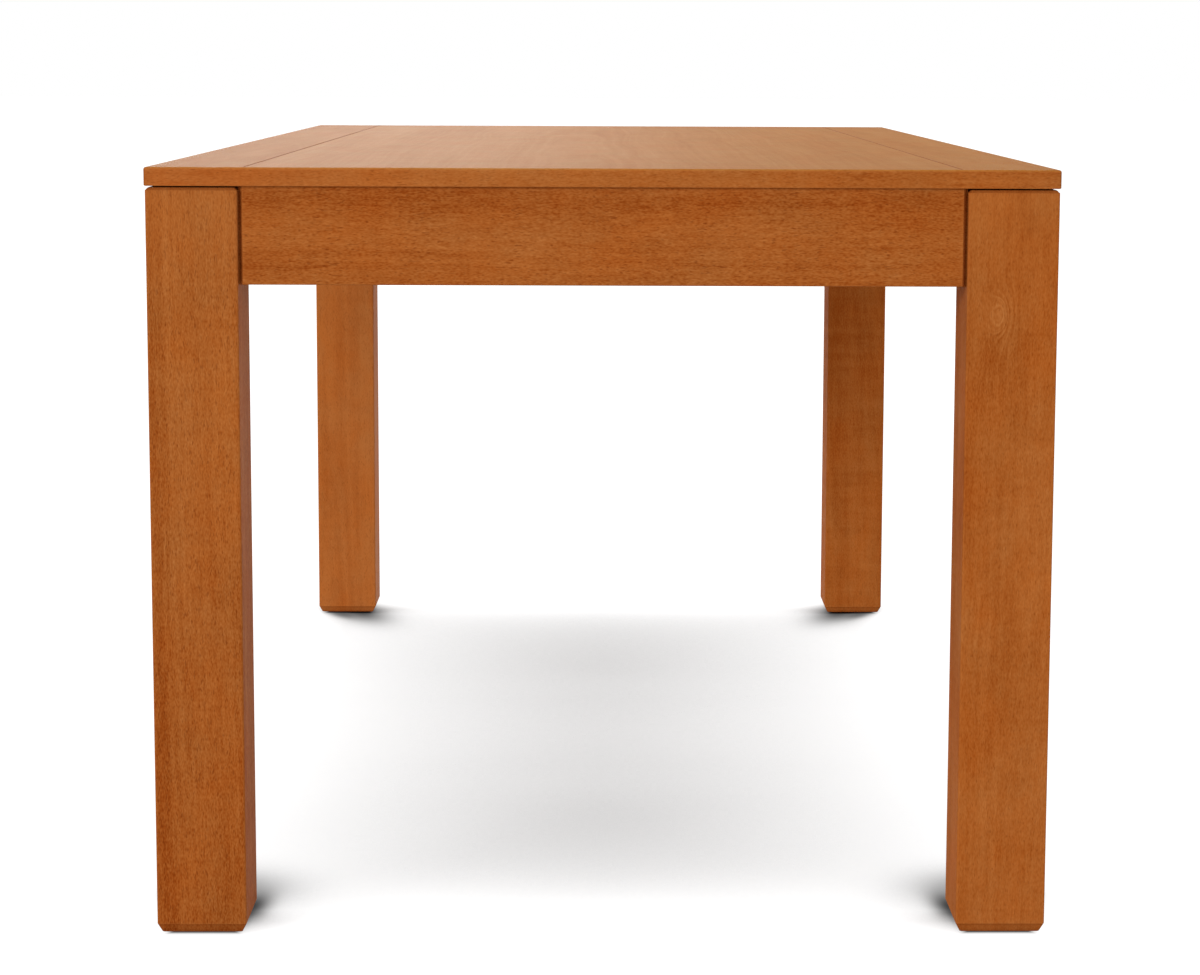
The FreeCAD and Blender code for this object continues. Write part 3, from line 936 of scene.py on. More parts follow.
STAINED = StainedWood(deep=(0.15, 0.024, 0.0015), dark=(0.29, 0.060, 0.0055),
                      middle=(0.385, 0.106, 0.018), light=(0.50, 0.170, 0.040))
# The top's upward faces take this yellower stain: the boards' colour with a painted warm reflection.
TOP_STAIN_AND_SHEEN = StainedWood(deep=(0.122, 0.028, 0.002), dark=(0.275, 0.086, 0.0095),
                        middle=(0.34, 0.132, 0.021), light=(0.425, 0.190, 0.043))
PLAIN = StainedWood(deep=(0.20, 0.10, 0.04), dark=(0.36, 0.205, 0.095),
                    middle=(0.46, 0.29, 0.15), light=(0.58, 0.40, 0.23), roughness=0.6,
                    refraction=1.3)
ZINC = PlatedSteel(tint=(0.62, 0.62, 0.6), shadow_tint=(0.5, 0.5, 0.49))
YELLOW_ZINC = PlatedSteel(tint=(0.6, 0.52, 0.34), shadow_tint=(0.5, 0.42, 0.26))
NYLON = MouldedNylon(tint=(0.045, 0.032, 0.024))


# ------------------------------------------------------------------------------- sub-assemblies


@dataclass
class Tabletop:
    """The centre panel, the side boards with a V-groove beside it, and the end lippings.

    Attributes:
        edge_radius: of the top's upper outer edge.
        lower_edge_radius: of its lower outer edge.
        board_chamfer: straight cut on each side of a V-groove.
        pooling: how steeply the stain pools from a chamfer's lines to its middle.
        soft_arris: radius of a board's hidden edges.
        least_cut: corner cut of an edge that is left sharp.
        corner_fade: share of the edge radius that a lipping loses towards its ends.
        steps: segments in each rounded corner.
        slot: the record's material slot; not used.
        spline_seed: place in the wood of the splines.
        figures: figure of each board.
    """

    edge_radius: float = 2.5 * MM
    lower_edge_radius: float = 1.0 * MM
    board_chamfer: float = 0.9 * MM
    pooling: float = 3.0
    soft_arris: float = 0.25 * MM
    least_cut: float = 0.01 * MM
    corner_fade: float = 0.9
    steps: int = 6
    slot: str = "top_lacquered_wood"
    spline_seed: float = 61.0
    figures: dict[str, Figure] = field(default_factory=lambda: {
        "top_center_panel": Figure(seed=5.0, pith=(0.05, 0.03), mottle=0.5, speckle=0.35,
                                   streak=0.7),
        "top_side_board_left": Figure(seed=17.0, pith=(0.09, -0.02), mottle=0.5, speckle=0.35,
                                      streak=0.7, tone=-0.05),
        "top_side_board_right": Figure(seed=29.0, pith=(-0.11, 0.03), mottle=0.5, speckle=0.35,
                                       streak=0.7),
        "top_end_lipping_front": Figure(seed=41.0, pith=(0.05, 0.11), mottle=0.6, speckle=0.75,
                                        tone=0.09, drift=-0.1, blush=(-0.3, -2.5)),
        "top_end_lipping_back": Figure(seed=53.0, pith=(0.05, -0.11), mottle=0.6, speckle=0.75)})

    def lengthwise_board(self, node: str, cuts: tuple[float, float, float, float]) -> Surface:
        """Board along Y, as one section carried from end to end.

        A corner cut of the V-groove's size is straight and darker, and the others are arcs.

        Args:
            node: the board's CAD node.
            cuts: corner cuts of its section, the upper right one first, then anticlockwise.

        Returns:
            The board's surface.
        """
        low, high = node_array(node)
        ends = np.array([low[1], high[1]])
        sizes = np.broadcast_to(np.array(cuts), (2, 4))
        arcs = np.where(np.isclose(sizes, self.board_chamfer), 0.0, 1.0)
        section, wear = rounded_rectangles(np.tile(low[[0, 2]], (2, 1)),
                                           np.tile(high[[0, 2]], (2, 1)), sizes, arcs, self.steps)
        rounded = np.repeat(arcs, self.steps + 1, axis=1) > 0
        wear = np.where(rounded, wear, -np.minimum(1.0, self.pooling * wear))
        along = np.broadcast_to(ends[:, None], section.shape[:2])
        rings = np.stack([section[..., 0], along, section[..., 1]], axis=-1)
        return Surface.from_rings(rings, wear)

    def lipping(self, node: str, end: int) -> Surface:
        """Lipping along X, with its outer edges and its two outer upright corners rounded.

        Near each end, at the distance r(1 - cos a) from it, the section shrinks as a quarter
        circle does: by r(1 - sin a) on its outer and upper sides, where r is the upper edge's
        radius, and by the lower edge's radius times 1 - sin a below.

        Args:
            node: the lipping's CAD node.
            end: sign of the end of the table.

        Returns:
            The lipping's surface.
        """
        low, high = node_array(node)
        turn = np.linspace(0.0, math.pi / 2, self.steps + 1)
        shrink = self.edge_radius * (1 - np.sin(turn))
        travel = self.edge_radius * (1 - np.cos(turn))
        x = np.concatenate([low[0] + travel, high[0] - travel[::-1]])
        inset = np.concatenate([shrink, shrink[::-1]])
        share = inset / self.edge_radius
        inner, outer = (low[1], high[1]) if end > 0 else (high[1], low[1])
        y = np.stack([np.full_like(x, inner), outer - end * inset], axis=1)
        z = np.stack([low[2] + share * self.lower_edge_radius, high[2] - inset], axis=1)
        fade = 1 - self.corner_fade * share
        cuts = np.stack([self.edge_radius * fade, np.full_like(x, self.least_cut),
                         self.lower_edge_radius * fade], axis=1)
        cuts = cuts[:, [0, 1, 1, 2] if end > 0 else [1, 0, 2, 1]]
        section, wear = rounded_rectangles(np.stack([y.min(axis=1), z[:, 0]], axis=1),
                                           np.stack([y.max(axis=1), z[:, 1]], axis=1),
                                           cuts, np.ones_like(cuts), self.steps)
        across = np.broadcast_to(x[:, None], section.shape[:2])
        rings = np.stack([across, section[..., 0], section[..., 1]], axis=-1)
        return Surface.from_rings(rings, wear)

    def build(self) -> None:
        """Make all five boards and dress the splines."""
        edge, lower, vee, soft = (self.edge_radius, self.lower_edge_radius, self.board_chamfer,
                                  self.soft_arris)
        cuts = {"top_center_panel": (vee, vee, soft, soft),
                "top_side_board_left": (vee, edge, lower, soft),
                "top_side_board_right": (edge, vee, soft, lower)}
        shapes = {node: (self.lengthwise_board(node, own), GrainWay.ALONG_TABLE)
                  for node, own in cuts.items()}
        for name, end in (("front", -1), ("back", 1)):
            node = f"top_end_lipping_{name}"
            shapes[node] = (self.lipping(node, end), GrainWay.ACROSS_TABLE)
        for node, (surface, way) in shapes.items():
            finish = STAINED.material(f"wood_{node}", way, node_centre(node), self.figures[node],
                                      TOP_STAIN_AND_SHEEN)
            publish(f"{node}_board", surface, finish, [node])
        for side in ("left", "right"):
            node = f"top_spline_{side}"
            dress(node, PLAIN.material(f"wood_{node}", GrainWay.ALONG_TABLE, node_centre(node),
                                       Figure(seed=self.spline_seed)))


@dataclass
class Legs:
    """Four square legs with a bevelled foot, a chamfered top and a flat for the bolts.

    Attributes:
        edge_radius: of the upright edges.
        least_radius: of them where the section is smallest.
        radius_loss: how much the edge radius shrinks, as a share of the section's inset.
        top_chamfer: cut at the leg's upper end.
        foot_bevel_width: how far the bevel runs in.
        foot_bevel_height: how high it goes.
        sole_ring: how far inside the sole's edge its flat middle starts.
        sole_line: width of the painted shade line on the sole, inside its edge.
        sole_line_height: height of that line on the bevel.
        bevel_fade: how far below the bevel's top the wood begins to darken, up to the line and, as painted
            shade, down to the sole.
        bevel_line: how far from the bevel's top its dark line ends.
        foot_wear_and_shade: value of each ring from the sole to the ledge: above 0 arris wear, below 0
            darker, as painted shade towards the sole and as a dark line below the bevel's top.
        head_wear: wear value of each ring from the ledge to the top.
        ledge_step: half the height of the step from the square to the cut section.
        bolt_flat_cut: cut at the inner corner for the bolts.
        flat_loss: how much that cut shrinks, as a share of the section's inset.
        softness: how far from a line between two faces its rounding starts.
        line_steps: segments in that rounding.
        steps: segments in each rounded corner.
        slot: the record's material slot; not used.
        figures: figure of each leg; on some legs its tone and drift also paint light and shade.
    """

    edge_radius: float = 2.0 * MM
    least_radius: float = 0.8 * MM
    radius_loss: float = 0.35
    top_chamfer: float = 2.8 * MM
    foot_bevel_width: float = 5.0 * MM
    foot_bevel_height: float = 10.0 * MM
    sole_ring: float = 6.0 * MM
    sole_line: float = 1.0 * MM
    sole_line_height: float = 0.8 * MM
    bevel_fade: float = 4.0 * MM
    bevel_line: float = 1.2 * MM
    foot_wear_and_shade: tuple[float, ...] = (0.0, -0.8, -0.5, 0.0, -0.5, 1.4, 0.0, 0.0)
    head_wear: tuple[float, ...] = (0.0, 0.9, 0.6)
    ledge_step: float = 0.05 * MM
    bolt_flat_cut: float = 16.0 * MM
    flat_loss: float = 0.4
    softness: float = 0.5 * MM
    line_steps: int = 4
    steps: int = 6
    slot: str = "leg_lacquered_wood"
    figures: dict[str, Figure] = field(default_factory=lambda: {
        # Front left: the drift makes the leg lighter towards its top, a painted light that fades downwards.
        "front_left": Figure(seed=2.0, pith=(0.10, 0.06), mottle=0.7, lean=0.01, drift=0.2,
                             tone=0.02, bands=((1, -0.037, 0.011, 0.11),)),
        "front_right": Figure(seed=7.4, pith=(-0.06, 0.05), mottle=1.7, speckle=0.7, streak=0.6,
                              eye=(0.388, -0.899, 0.632), lean=-0.015, tone=0.065,
                              drift=-0.12, blush=(0.2, 0.0), lacquer=0.4),
        # Back left: the high tone makes the leg lighter all over, partly its own tone and partly painted
        # light for the light that the tabletop keeps off it.
        "back_left": Figure(seed=13.0, pith=(0.05, 0.09), mottle=1.6, speckle=0.6, tone=0.265,
                            blush=(0.4, 0.0)),
        # Back right: the tone and drift make the leg darker towards its top, painted shade added to the side
        # apron's real shadow.
        "back_right": Figure(seed=19.0, pith=(0.02, -0.07), mottle=0.6, speckle=0.6, curl=0.22,
                             tone=-0.06, drift=-0.2, lacquer=0.5)})

    def leg(self, corner: Corner, ledge: float) -> Surface:
        """Leg as rounded squares stacked upwards.

        The square's side shrinks over the foot bevel and the top chamfer, whose meeting lines
        are softened. From the ledge up, the corner that faces the table's middle is cut off.

        Args:
            corner: which leg.
            ledge: height at which the flat for the bolts begins.

        Returns:
            The leg's surface.
        """
        low, high = node_array(f"leg_{corner.name}")
        slope = self.foot_bevel_width / self.foot_bevel_height
        bevel_top = low[2] + self.foot_bevel_height
        # The foot's rows paint shade near the floor: a dark line at the sole's edge and a bevel that darkens
        # towards the sole.
        drop = np.array([self.foot_bevel_height - self.sole_line_height, self.bevel_fade,
                         self.bevel_line, 0.0])
        foot_height = np.array([low[2], low[2], *(bevel_top - drop), bevel_top + self.bevel_line,
                                ledge - self.ledge_step])
        foot_inset = np.array([self.foot_bevel_width + self.sole_ring,
                               self.foot_bevel_width + self.sole_line, *(drop * slope), 0.0, 0.0])
        head_height = np.array([ledge + self.ledge_step, high[2] - self.top_chamfer, high[2]])
        head_inset = np.array([0.0, 0.0, self.top_chamfer])
        foot = np.stack([foot_height, foot_inset, self.foot_wear_and_shade], axis=1)
        head = np.stack([head_height, head_inset, self.head_wear], axis=1)
        lines = [softened(part, self.softness, self.line_steps) for part in (foot, head)]
        height, inset, line_wear_and_shade = np.concatenate(lines).T
        above = height > ledge
        radius = np.maximum(self.edge_radius - self.radius_loss * inset, self.least_radius)
        cuts = np.repeat(radius[:, None], 4, axis=1)
        arcs = np.ones_like(cuts)
        cuts[above, corner.inner] = self.bolt_flat_cut - self.flat_loss * inset[above]
        arcs[above, corner.inner] = 0.0
        section, wear = rounded_rectangles(low[None, :2] + inset[:, None],
                                           high[None, :2] - inset[:, None], cuts, arcs, self.steps)
        level = np.broadcast_to(height[:, None], section.shape[:2])
        wear = np.where(line_wear_and_shade[:, None] < 0, line_wear_and_shade[:, None],
                        np.maximum(wear, np.minimum(line_wear_and_shade, 1.0)[:, None]))
        rings = np.concatenate([section, level[..., None]], axis=-1)
        return Surface.from_rings(rings, wear)

    def build(self) -> None:
        """Make the four legs."""
        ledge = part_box("side_apron_left")[0][2]
        for corner in CORNERS:
            node = f"leg_{corner.name}"
            finish = STAINED.material(f"wood_{node}", GrainWay.UPRIGHT, node_centre(node),
                                      self.figures[corner.name])
            publish(f"{node}_post", self.leg(corner, ledge), finish, [node])


@dataclass
class Aprons:
    """Two end aprons and two side aprons, with a rebated and bevelled end beside each leg.

    Attributes:
        end_gap: width of the shadow gap beside the leg.
        end_gap_depth: how deep it is.
        end_bevel: cut at the outer face's end.
        bevel_run: how far from the gap the plain face starts, in bevels.
        rebate_step: how far apart the two points of the rebate's upright wall stand.
        softness: how far from a line its rounding starts.
        line_steps: segments in that rounding.
        edge_radius: of the lower edges.
        bevel_wear: wear value of the bevel's outer line.
        bevel_wear_reach: how far from that line it counts.
        edge_wear: wear value of the outer lower edge.
        kerf_width: of the clips' kerf.
        kerf_depth: how far it is cut in.
        kerf_drop: how far its upper side lies below the apron's top.
        steps: segments in each rounded edge.
        slot: the record's material slot; not used.
        figures: figure of each apron.
    """

    end_gap: float = 2.0 * MM
    end_gap_depth: float = 5.0 * MM
    end_bevel: float = 2.5 * MM
    bevel_run: float = 2.2
    rebate_step: float = 0.01 * MM
    softness: float = 0.35 * MM
    line_steps: int = 3
    edge_radius: float = 1.5 * MM
    bevel_wear: float = 0.8
    bevel_wear_reach: float = 0.4 * MM
    edge_wear: float = 0.7
    kerf_width: float = 3.2 * MM
    kerf_depth: float = 10.0 * MM
    kerf_drop: float = 11.0 * MM
    steps: int = 5
    slot: str = "apron_lacquered_wood"
    figures: dict[str, Figure] = field(default_factory=lambda: {
        # The front apron's band darkens the upper part of its face, just below the top.
        "end_apron_front": Figure(seed=3.3, pith=(0.04, 0.09), mottle=0.9, tone=0.02,
                                  drift=-0.06, blush=(0.12, -0.2),
                                  bands=((2, 0.033, 0.017, 0.08),)),
        "end_apron_back": Figure(seed=23.0, pith=(0.05, -0.08)),
        "side_apron_left": Figure(seed=37.0, pith=(-0.07, 0.06)),
        "side_apron_right": Figure(seed=43.0, pith=(0.03, 0.08))})

    def section(self, thickness: np.ndarray, bottom: float, top: float) -> np.ndarray:
        """Apron's section at each station, from its inner face outwards and from its foot up.

        It runs up the outer face, across the top, down the inner face with the clips' kerf cut
        into it, and round the two lower arrises as quarter circles.

        Args:
            thickness: (stations,) distance from the inner to the outer face.
            bottom: height of the lower edge.
            top: height of the upper edge.

        Returns:
            (stations, points, 2) depth and height.
        """
        radius = self.edge_radius
        turn = np.linspace(0.0, math.pi / 2, self.steps + 1)
        rise, run = radius * (1 - np.cos(turn)), radius * (1 - np.sin(turn))
        kerf_top = top - self.kerf_drop
        kerf_bottom = kerf_top - self.kerf_width
        outer_arc = np.stack([-run, bottom + rise], axis=-1)
        kerf = np.array([[0.0, kerf_top], [self.kerf_depth, kerf_top],
                         [self.kerf_depth, kerf_bottom], [0.0, kerf_bottom]])
        inner_arc = np.stack([rise, bottom + run], axis=-1)
        outer = np.tile(np.vstack([outer_arc, [[0.0, top]]]), (len(thickness), 1, 1))
        outer[..., 0] += thickness[:, None]
        inner = np.tile(np.vstack([[[0.0, top]], kerf, inner_arc]), (len(thickness), 1, 1))
        return np.concatenate([outer, inner], axis=1)

    def apron(self, half_span: float, inner: float, outer: float, bottom: float,
              top: float) -> tuple[np.ndarray, np.ndarray]:
        """Apron's rings along its own length, centred on zero.

        Args:
            half_span: half the distance between the legs.
            inner: distance of the inner face from the table's middle.
            outer: distance of the outer face from the table's middle.
            bottom: height of the lower edge.
            top: height of the upper edge.

        Returns:
            (stations, points, 3) rings as along, outwards and up, and the wear values.
        """
        full = outer - inner
        gap = half_span - self.end_gap
        half = np.array([[half_span, full - self.end_gap_depth],
                         [gap + self.rebate_step, full - self.end_gap_depth],
                         [gap, full - self.end_bevel], [gap - self.end_bevel, full],
                         [gap - self.bevel_run * self.end_bevel, full]])
        half = softened(half, self.softness, self.line_steps)
        stations = np.vstack([half * [-1, 1], half[::-1]])
        section = self.section(stations[:, 1], bottom, top)
        along = np.broadcast_to(stations[:, :1], section.shape[:2])
        rings = np.stack([along, inner + section[..., 0], section[..., 1]], axis=-1)
        off_line = np.abs(np.abs(stations[:, :1]) - gap + self.end_bevel)
        wear = np.where(off_line < self.bevel_wear_reach, self.bevel_wear, 0.0)
        wear = np.broadcast_to(wear, section.shape[:2]).copy()
        lower_edge = slice(1, self.steps)
        wear[:, lower_edge] = np.maximum(wear[:, lower_edge], self.edge_wear)
        return rings, wear

    def build(self) -> None:
        """Make the four aprons. A side apron's rings are turned, to run along Y."""
        for kind, outward, names, way in (
                ("end", 1, ("front", "back"), GrainWay.ACROSS_TABLE),
                ("side", 0, ("left", "right"), GrainWay.ALONG_TABLE)):
            for name, sign in zip(names, (-1, 1)):
                node = f"{kind}_apron_{name}"
                low, high = node_array(node)
                near, far = sorted((abs(low[outward]), abs(high[outward])))
                rings, wear = self.apron(high[1 - outward], near, far, low[2], high[2])
                rings = rings[..., [1 - outward, outward, 2]]
                rings[..., outward] *= sign
                finish = STAINED.material(f"wood_{node}", way, node_centre(node),
                                          self.figures[node])
                publish(f"{node}_rail", Surface.from_rings(rings, wear), finish, [node])


@dataclass
class InnerFrame:
    """Cross rails, corner blocks and dowels, in plain planed wood.

    Attributes:
        rail_seed: place in the wood of the first cross rail.
        block_seed: place in the wood of the first corner block.
        dowel_seed: place in the wood of the dowels.
        seed_step: how far the next piece lies from the one before.
        block_tone: how much lighter the corner blocks are.
        dowel_tone: how much lighter the dowels are.
    """

    rail_seed: float = 71.0
    block_seed: float = 83.0
    dowel_seed: float = 97.0
    seed_step: float = 5.0
    block_tone: float = 0.05
    dowel_tone: float = 0.1

    def finish(self, node: str, figure: Figure, stain: StainedWood = PLAIN) -> None:
        """Dress one piece, with its grain across the table.

        Args:
            node: the CAD node's name.
            figure: the piece's own figure.
            stain: its finish.
        """
        dress(node, stain.material(f"wood_{node}", GrainWay.ACROSS_TABLE, node_centre(node),
                                   figure))

    def build(self) -> None:
        """Dress the CAD pieces, each with its own figure.

        A corner block's grain runs across its corner, so it leans by 45 degrees one way or the
        other, and none of its faces in view is end grain.
        """
        for number, end in enumerate(("front", "back")):
            self.finish(f"cross_rail_{end}", Figure(self.rail_seed + self.seed_step * number))
        long_grained = replace(PLAIN, end_shade=0.0)
        for number, corner in enumerate(CORNERS):
            figure = Figure(self.block_seed + self.seed_step * number, tone=self.block_tone,
                            lean=float(corner.x * corner.y))
            self.finish(f"corner_block_{corner.name}", figure, long_grained)
        for node in ("apron_dowels", "rail_dowels"):
            self.finish(node, Figure(self.dowel_seed, tone=self.dowel_tone))


@dataclass(frozen=True)
class Pin:
    """A straight fastener's place and sizes, as they are read from its CAD solid.

    Attributes:
        top: middle of the head's outer face.
        outward: direction from the tip to the head.
        length: from the head's outer face to the tip.
        head_radius: greatest radius of the head.
        head_height: from the head's outer face to its underside.
        shank_radius: radius near the tip.
    """

    top: np.ndarray
    outward: np.ndarray
    length: float
    head_radius: float
    head_height: float
    shank_radius: float

    @classmethod
    def read(cls, points: np.ndarray) -> "Pin":
        """Fastener that a solid stands for, which lies along one of the table's axes.

        Args:
            points: (n, 3) corners of the solid.

        Returns:
            The fastener, whose head is where the corners lie farthest from the axis.
        """
        outermost = 0.9
        low, high = points.min(axis=0), points.max(axis=0)
        centre = (low + high) / 2
        axis = int(np.argmax(high - low))
        half = (high - low)[axis] / 2
        centred = points - centre
        reach = centred[:, axis].copy()
        centred[:, axis] = 0.0
        off = np.linalg.norm(centred, axis=1)
        on_head = off > outermost * off.max()
        outward = np.zeros(3)
        outward[axis] = np.sign(reach[on_head].mean())
        reach *= outward[axis]
        at_tip = reach < -outermost * half
        return cls(centre + outward * half, outward, 2 * half, off.max(),
                   half - reach[on_head].min(), off[at_tip].max())


@dataclass
class Hardware:
    """Bolts, washers, nuts, screws, clips, glides and nails.

    Attributes:
        around: segments round each turned shape.
        dome: height of a screw head's crown, as a share of the head's height.
        rim: width and height of the head's bevelled rim, as a share of the head's height.
        crown_rings: rings on the crown.
        crown_start: radius of the innermost one, as a share of the crown's.
        cross_depth: depth of a screw's cross.
        arm_width: half width of the cross's arms, as a share of the head's radius.
        arm_slope: width of their sides' slope, as the same share.
        arm_length: half length of the arms, as the same share.
        arm_end: length of their ends' slope, as the same share.
        tip: radius of a blunt tip, as a share of the shank's.
        taper: length of a screw's tapered end, in shank radii.
        thread_pitch: of a hanger bolt.
        thread_depth: of the same.
        thread_length: how much of it shows a thread.
        thread_rings: rings on that length.
        thread_end: radius of the chamfered end, as a share of the bolt's.
        bolt_taper: length of the bolt's tapered end, in bolt radii.
        washer_thickness: of a washer.
        washer_softness: how far from its edges their rounding starts.
        washer_steps: segments in that rounding.
        nut_height: of a nut.
        nut_across_flats: width of a nut.
        nut_levels: heights of the rings near each face of the nut.
        nut_cone: radius of the nut's end faces, as a share of half its width.
        nut_flare: how steeply its chamfer widens.
        nut_mouth: chamfer of its hole.
        clip_thickness: of the steel of a clip.
        clip_step: length of its tongue.
        clip_softness: how far from its bends their rounding starts.
        clip_steps: segments in that rounding.
    """

    around: int = 48
    dome: float = 0.22
    rim: float = 0.15
    crown_rings: int = 17
    crown_start: float = 0.02
    cross_depth: float = 1.5 * MM
    arm_width: float = 0.15
    arm_slope: float = 0.07
    arm_length: float = 0.58
    arm_end: float = 0.12
    tip: float = 0.15
    taper: float = 1.5
    thread_pitch: float = 1.25 * MM
    thread_depth: float = 0.6 * MM
    thread_length: float = 14.0 * MM
    thread_rings: int = 90
    thread_end: float = 0.72
    bolt_taper: float = 2.0
    washer_thickness: float = 1.6 * MM
    washer_softness: float = 0.4 * MM
    washer_steps: int = 3
    nut_height: float = 6.5 * MM
    nut_across_flats: float = 13.0 * MM
    nut_levels: tuple[float, ...] = (0.0, 0.2 * MM, 0.4 * MM, 0.65 * MM, 1.0 * MM)
    nut_cone: float = 0.97
    nut_flare: float = 1.8
    nut_mouth: float = 0.4 * MM
    clip_thickness: float = 1.6 * MM
    clip_step: float = 11.0 * MM
    clip_softness: float = 1.2 * MM
    clip_steps: int = 4

    def turns(self) -> np.ndarray:
        """Angles of the points round each turned shape."""
        return np.linspace(0.0, 2 * math.pi, self.around, endpoint=False)

    def screw(self, pin: Pin, cross_depth: float) -> Surface:
        """Screw or nail.

        The head's top is a dome that falls with the square of the radius. A cross is sunk into
        it by its depth times the larger of two arms, each of which is 1 inside its half width
        and half length and falls to 0 over a short slope. The rest is a profile turned about
        the axis, down to a blunt tip.

        Args:
            pin: the fastener's place and sizes.
            cross_depth: depth of the cross, or 0 for a nail.

        Returns:
            The fastener's surface.
        """
        radius, height, shank = pin.head_radius, pin.head_height, pin.shank_radius
        dome, rim = self.dome * height, self.rim * height
        angle = self.turns()
        circle = np.stack([np.cos(angle), np.sin(angle)], axis=-1)
        share = np.linspace(self.crown_start, 1.0, self.crown_rings)
        flat = share[:, None, None] * (radius - rim) * circle[None]
        away = np.abs(flat) / radius
        slim = np.clip((self.arm_width - away) / self.arm_slope, 0.0, 1.0)
        long = np.clip((self.arm_length - away) / self.arm_end, 0.0, 1.0)
        cross = np.maximum(slim[..., 0] * long[..., 1], slim[..., 1] * long[..., 0])
        level = -dome * share[:, None] ** 2 - cross_depth * cross
        crown = np.concatenate([flat, level[..., None]], axis=-1)
        profile = np.array([[radius, -dome - rim], [radius, -height], [shank, -height],
                            [shank, self.taper * shank - pin.length],
                            [self.tip * shank, -pin.length]])
        rest = turned_rings(profile, self.around)
        return Surface.from_rings(np.concatenate([crown, rest])).placed(pin.top, pin.outward)

    def bolt(self, top: np.ndarray, outward: np.ndarray, radius: float,
             length: float) -> Surface:
        """Hanger bolt, whose thread shows at its nut's end.

        On the thread the radius at the height z and the turn a is the full one less the depth
        times a triangle wave of z over the pitch plus a, which makes one helix, and it is at
        most what the chamfered end leaves.

        Args:
            top: middle of the nut's end.
            outward: direction towards that end.
            radius: of the bolt.
            length: of the bolt.

        Returns:
            The bolt's surface.
        """
        angle = self.turns()
        down = np.linspace(0.0, self.thread_length, self.thread_rings)[:, None]
        phase = (down / self.thread_pitch + angle / (2 * math.pi)) % 1.0
        threaded = radius - self.thread_depth * np.abs(2 * phase - 1)
        threaded = np.minimum(threaded, self.thread_end * radius + down)
        thread = np.stack([threaded * np.cos(angle), threaded * np.sin(angle),
                           np.broadcast_to(-down, threaded.shape)], axis=-1)
        profile = np.array([[radius, -self.thread_length - radius],
                            [radius, self.bolt_taper * radius - length],
                            [self.tip * radius, -length]])
        plain = turned_rings(profile, self.around)
        return Surface.from_rings(np.concatenate([thread, plain])).placed(top, outward)

    def nut(self, bottom: np.ndarray, outward: np.ndarray, bore: float) -> Surface:
        """Six-sided nut with chamfered corners.

        The radius at the turn a is the smaller of the hexagon's, half its width over cos of the
        turn from the nearest flat's middle, and a cone's that widens from both end faces.

        Args:
            bottom: middle of the face against the washer.
            outward: direction away from the washer.
            bore: radius of the hole.

        Returns:
            The nut's surface.
        """
        half, height, mouth = self.nut_across_flats / 2, self.nut_height, self.nut_mouth
        angle = self.turns()
        hexagon = half / np.cos((angle % (math.pi / 3)) - math.pi / 6)
        level = np.array(self.nut_levels)[:, None]
        level = np.concatenate([level, height - level[::-1]])
        cone = self.nut_cone * half + self.nut_flare * np.minimum(level, height - level)
        radius = np.minimum(hexagon, cone)
        sides = np.stack([radius * np.cos(angle), radius * np.sin(angle),
                          np.broadcast_to(level, radius.shape)], axis=-1)
        hole = turned_rings(np.array([[bore + mouth, height], [bore, height - mouth],
                                      [bore, mouth], [bore + mouth, 0.0]]), self.around)
        rings = np.concatenate([sides, hole])
        return Surface.from_rings(rings, closed=True).placed(bottom, outward)

    def washer(self, bottom: np.ndarray, outward: np.ndarray, bore: float,
               radius: float) -> Surface:
        """Flat washer with rounded edges.

        Args:
            bottom: middle of the face against the wood.
            outward: direction away from the wood.
            bore: radius of the hole.
            radius: outer radius.

        Returns:
            The washer's surface.
        """
        thick = self.washer_thickness
        outline = np.array([[bore, 0.0], [radius, 0.0], [radius, thick], [bore, thick]])
        profile = softened(outline, self.washer_softness, self.washer_steps, closed=True)
        rings = turned_rings(profile, self.around)
        return Surface.from_rings(rings, closed=True).placed(bottom, outward)

    def clip(self, points: np.ndarray) -> Surface:
        """Bent steel clip: a closed Z-shaped outline with rounded bends, carried across it.

        Args:
            points: (n, 3) corners of the CAD solid, whose tongue points away from the table's
                middle.

        Returns:
            The clip's surface.
        """
        low, high = points.min(axis=0), points.max(axis=0)
        lengthwise = int(np.argmax(high - low))
        across = 1 - lengthwise
        sign = np.sign(low[lengthwise] + high[lengthwise])
        tip = max(abs(low[lengthwise]), abs(high[lengthwise]))
        length, thick, step = (high - low)[lengthwise], self.clip_thickness, self.clip_step
        outline = np.array([[0.0, low[2] + thick], [step, low[2] + thick], [step, high[2]],
                            [length, high[2]], [length, high[2] - thick],
                            [step + thick, high[2] - thick], [step + thick, low[2]],
                            [0.0, low[2]]])
        outline = softened(outline, self.clip_softness, self.clip_steps, closed=True)
        rings = np.empty((2, len(outline), 3))
        rings[..., lengthwise] = sign * (tip - outline[:, 0])
        rings[..., across] = np.array([low[across], high[across]])[:, None]
        rings[..., 2] = outline[:, 1]
        return Surface.from_rings(rings)

    def bolt_sets(self) -> dict[str, list[Surface]]:
        """Bolts, washers and nuts, each placed on its CAD solid's box and axis.

        Returns:
            The surfaces of each node.
        """
        made: dict[str, list[Surface]] = {}
        for node in ("hanger_bolts", "bolt_washers", "bolt_nuts"):
            made[node] = []
            for points in solids_of(node):
                centre = (points.min(axis=0) + points.max(axis=0)) / 2
                outward = np.array([*-np.sign(centre[:2]), 0.0]) / math.sqrt(2)
                reach = (points - centre) @ outward
                off = np.linalg.norm(points - centre - reach[:, None] * outward, axis=1)
                bottom = centre + outward * reach.min()
                if node == "hanger_bolts":
                    made[node].append(self.bolt(centre + outward * reach.max(), outward,
                                                off.max(), reach.max() - reach.min()))
                elif node == "bolt_washers":
                    made[node].append(self.washer(bottom, outward, off.min(), off.max()))
                else:
                    made[node].append(self.nut(bottom, outward, off.min()))
        return made

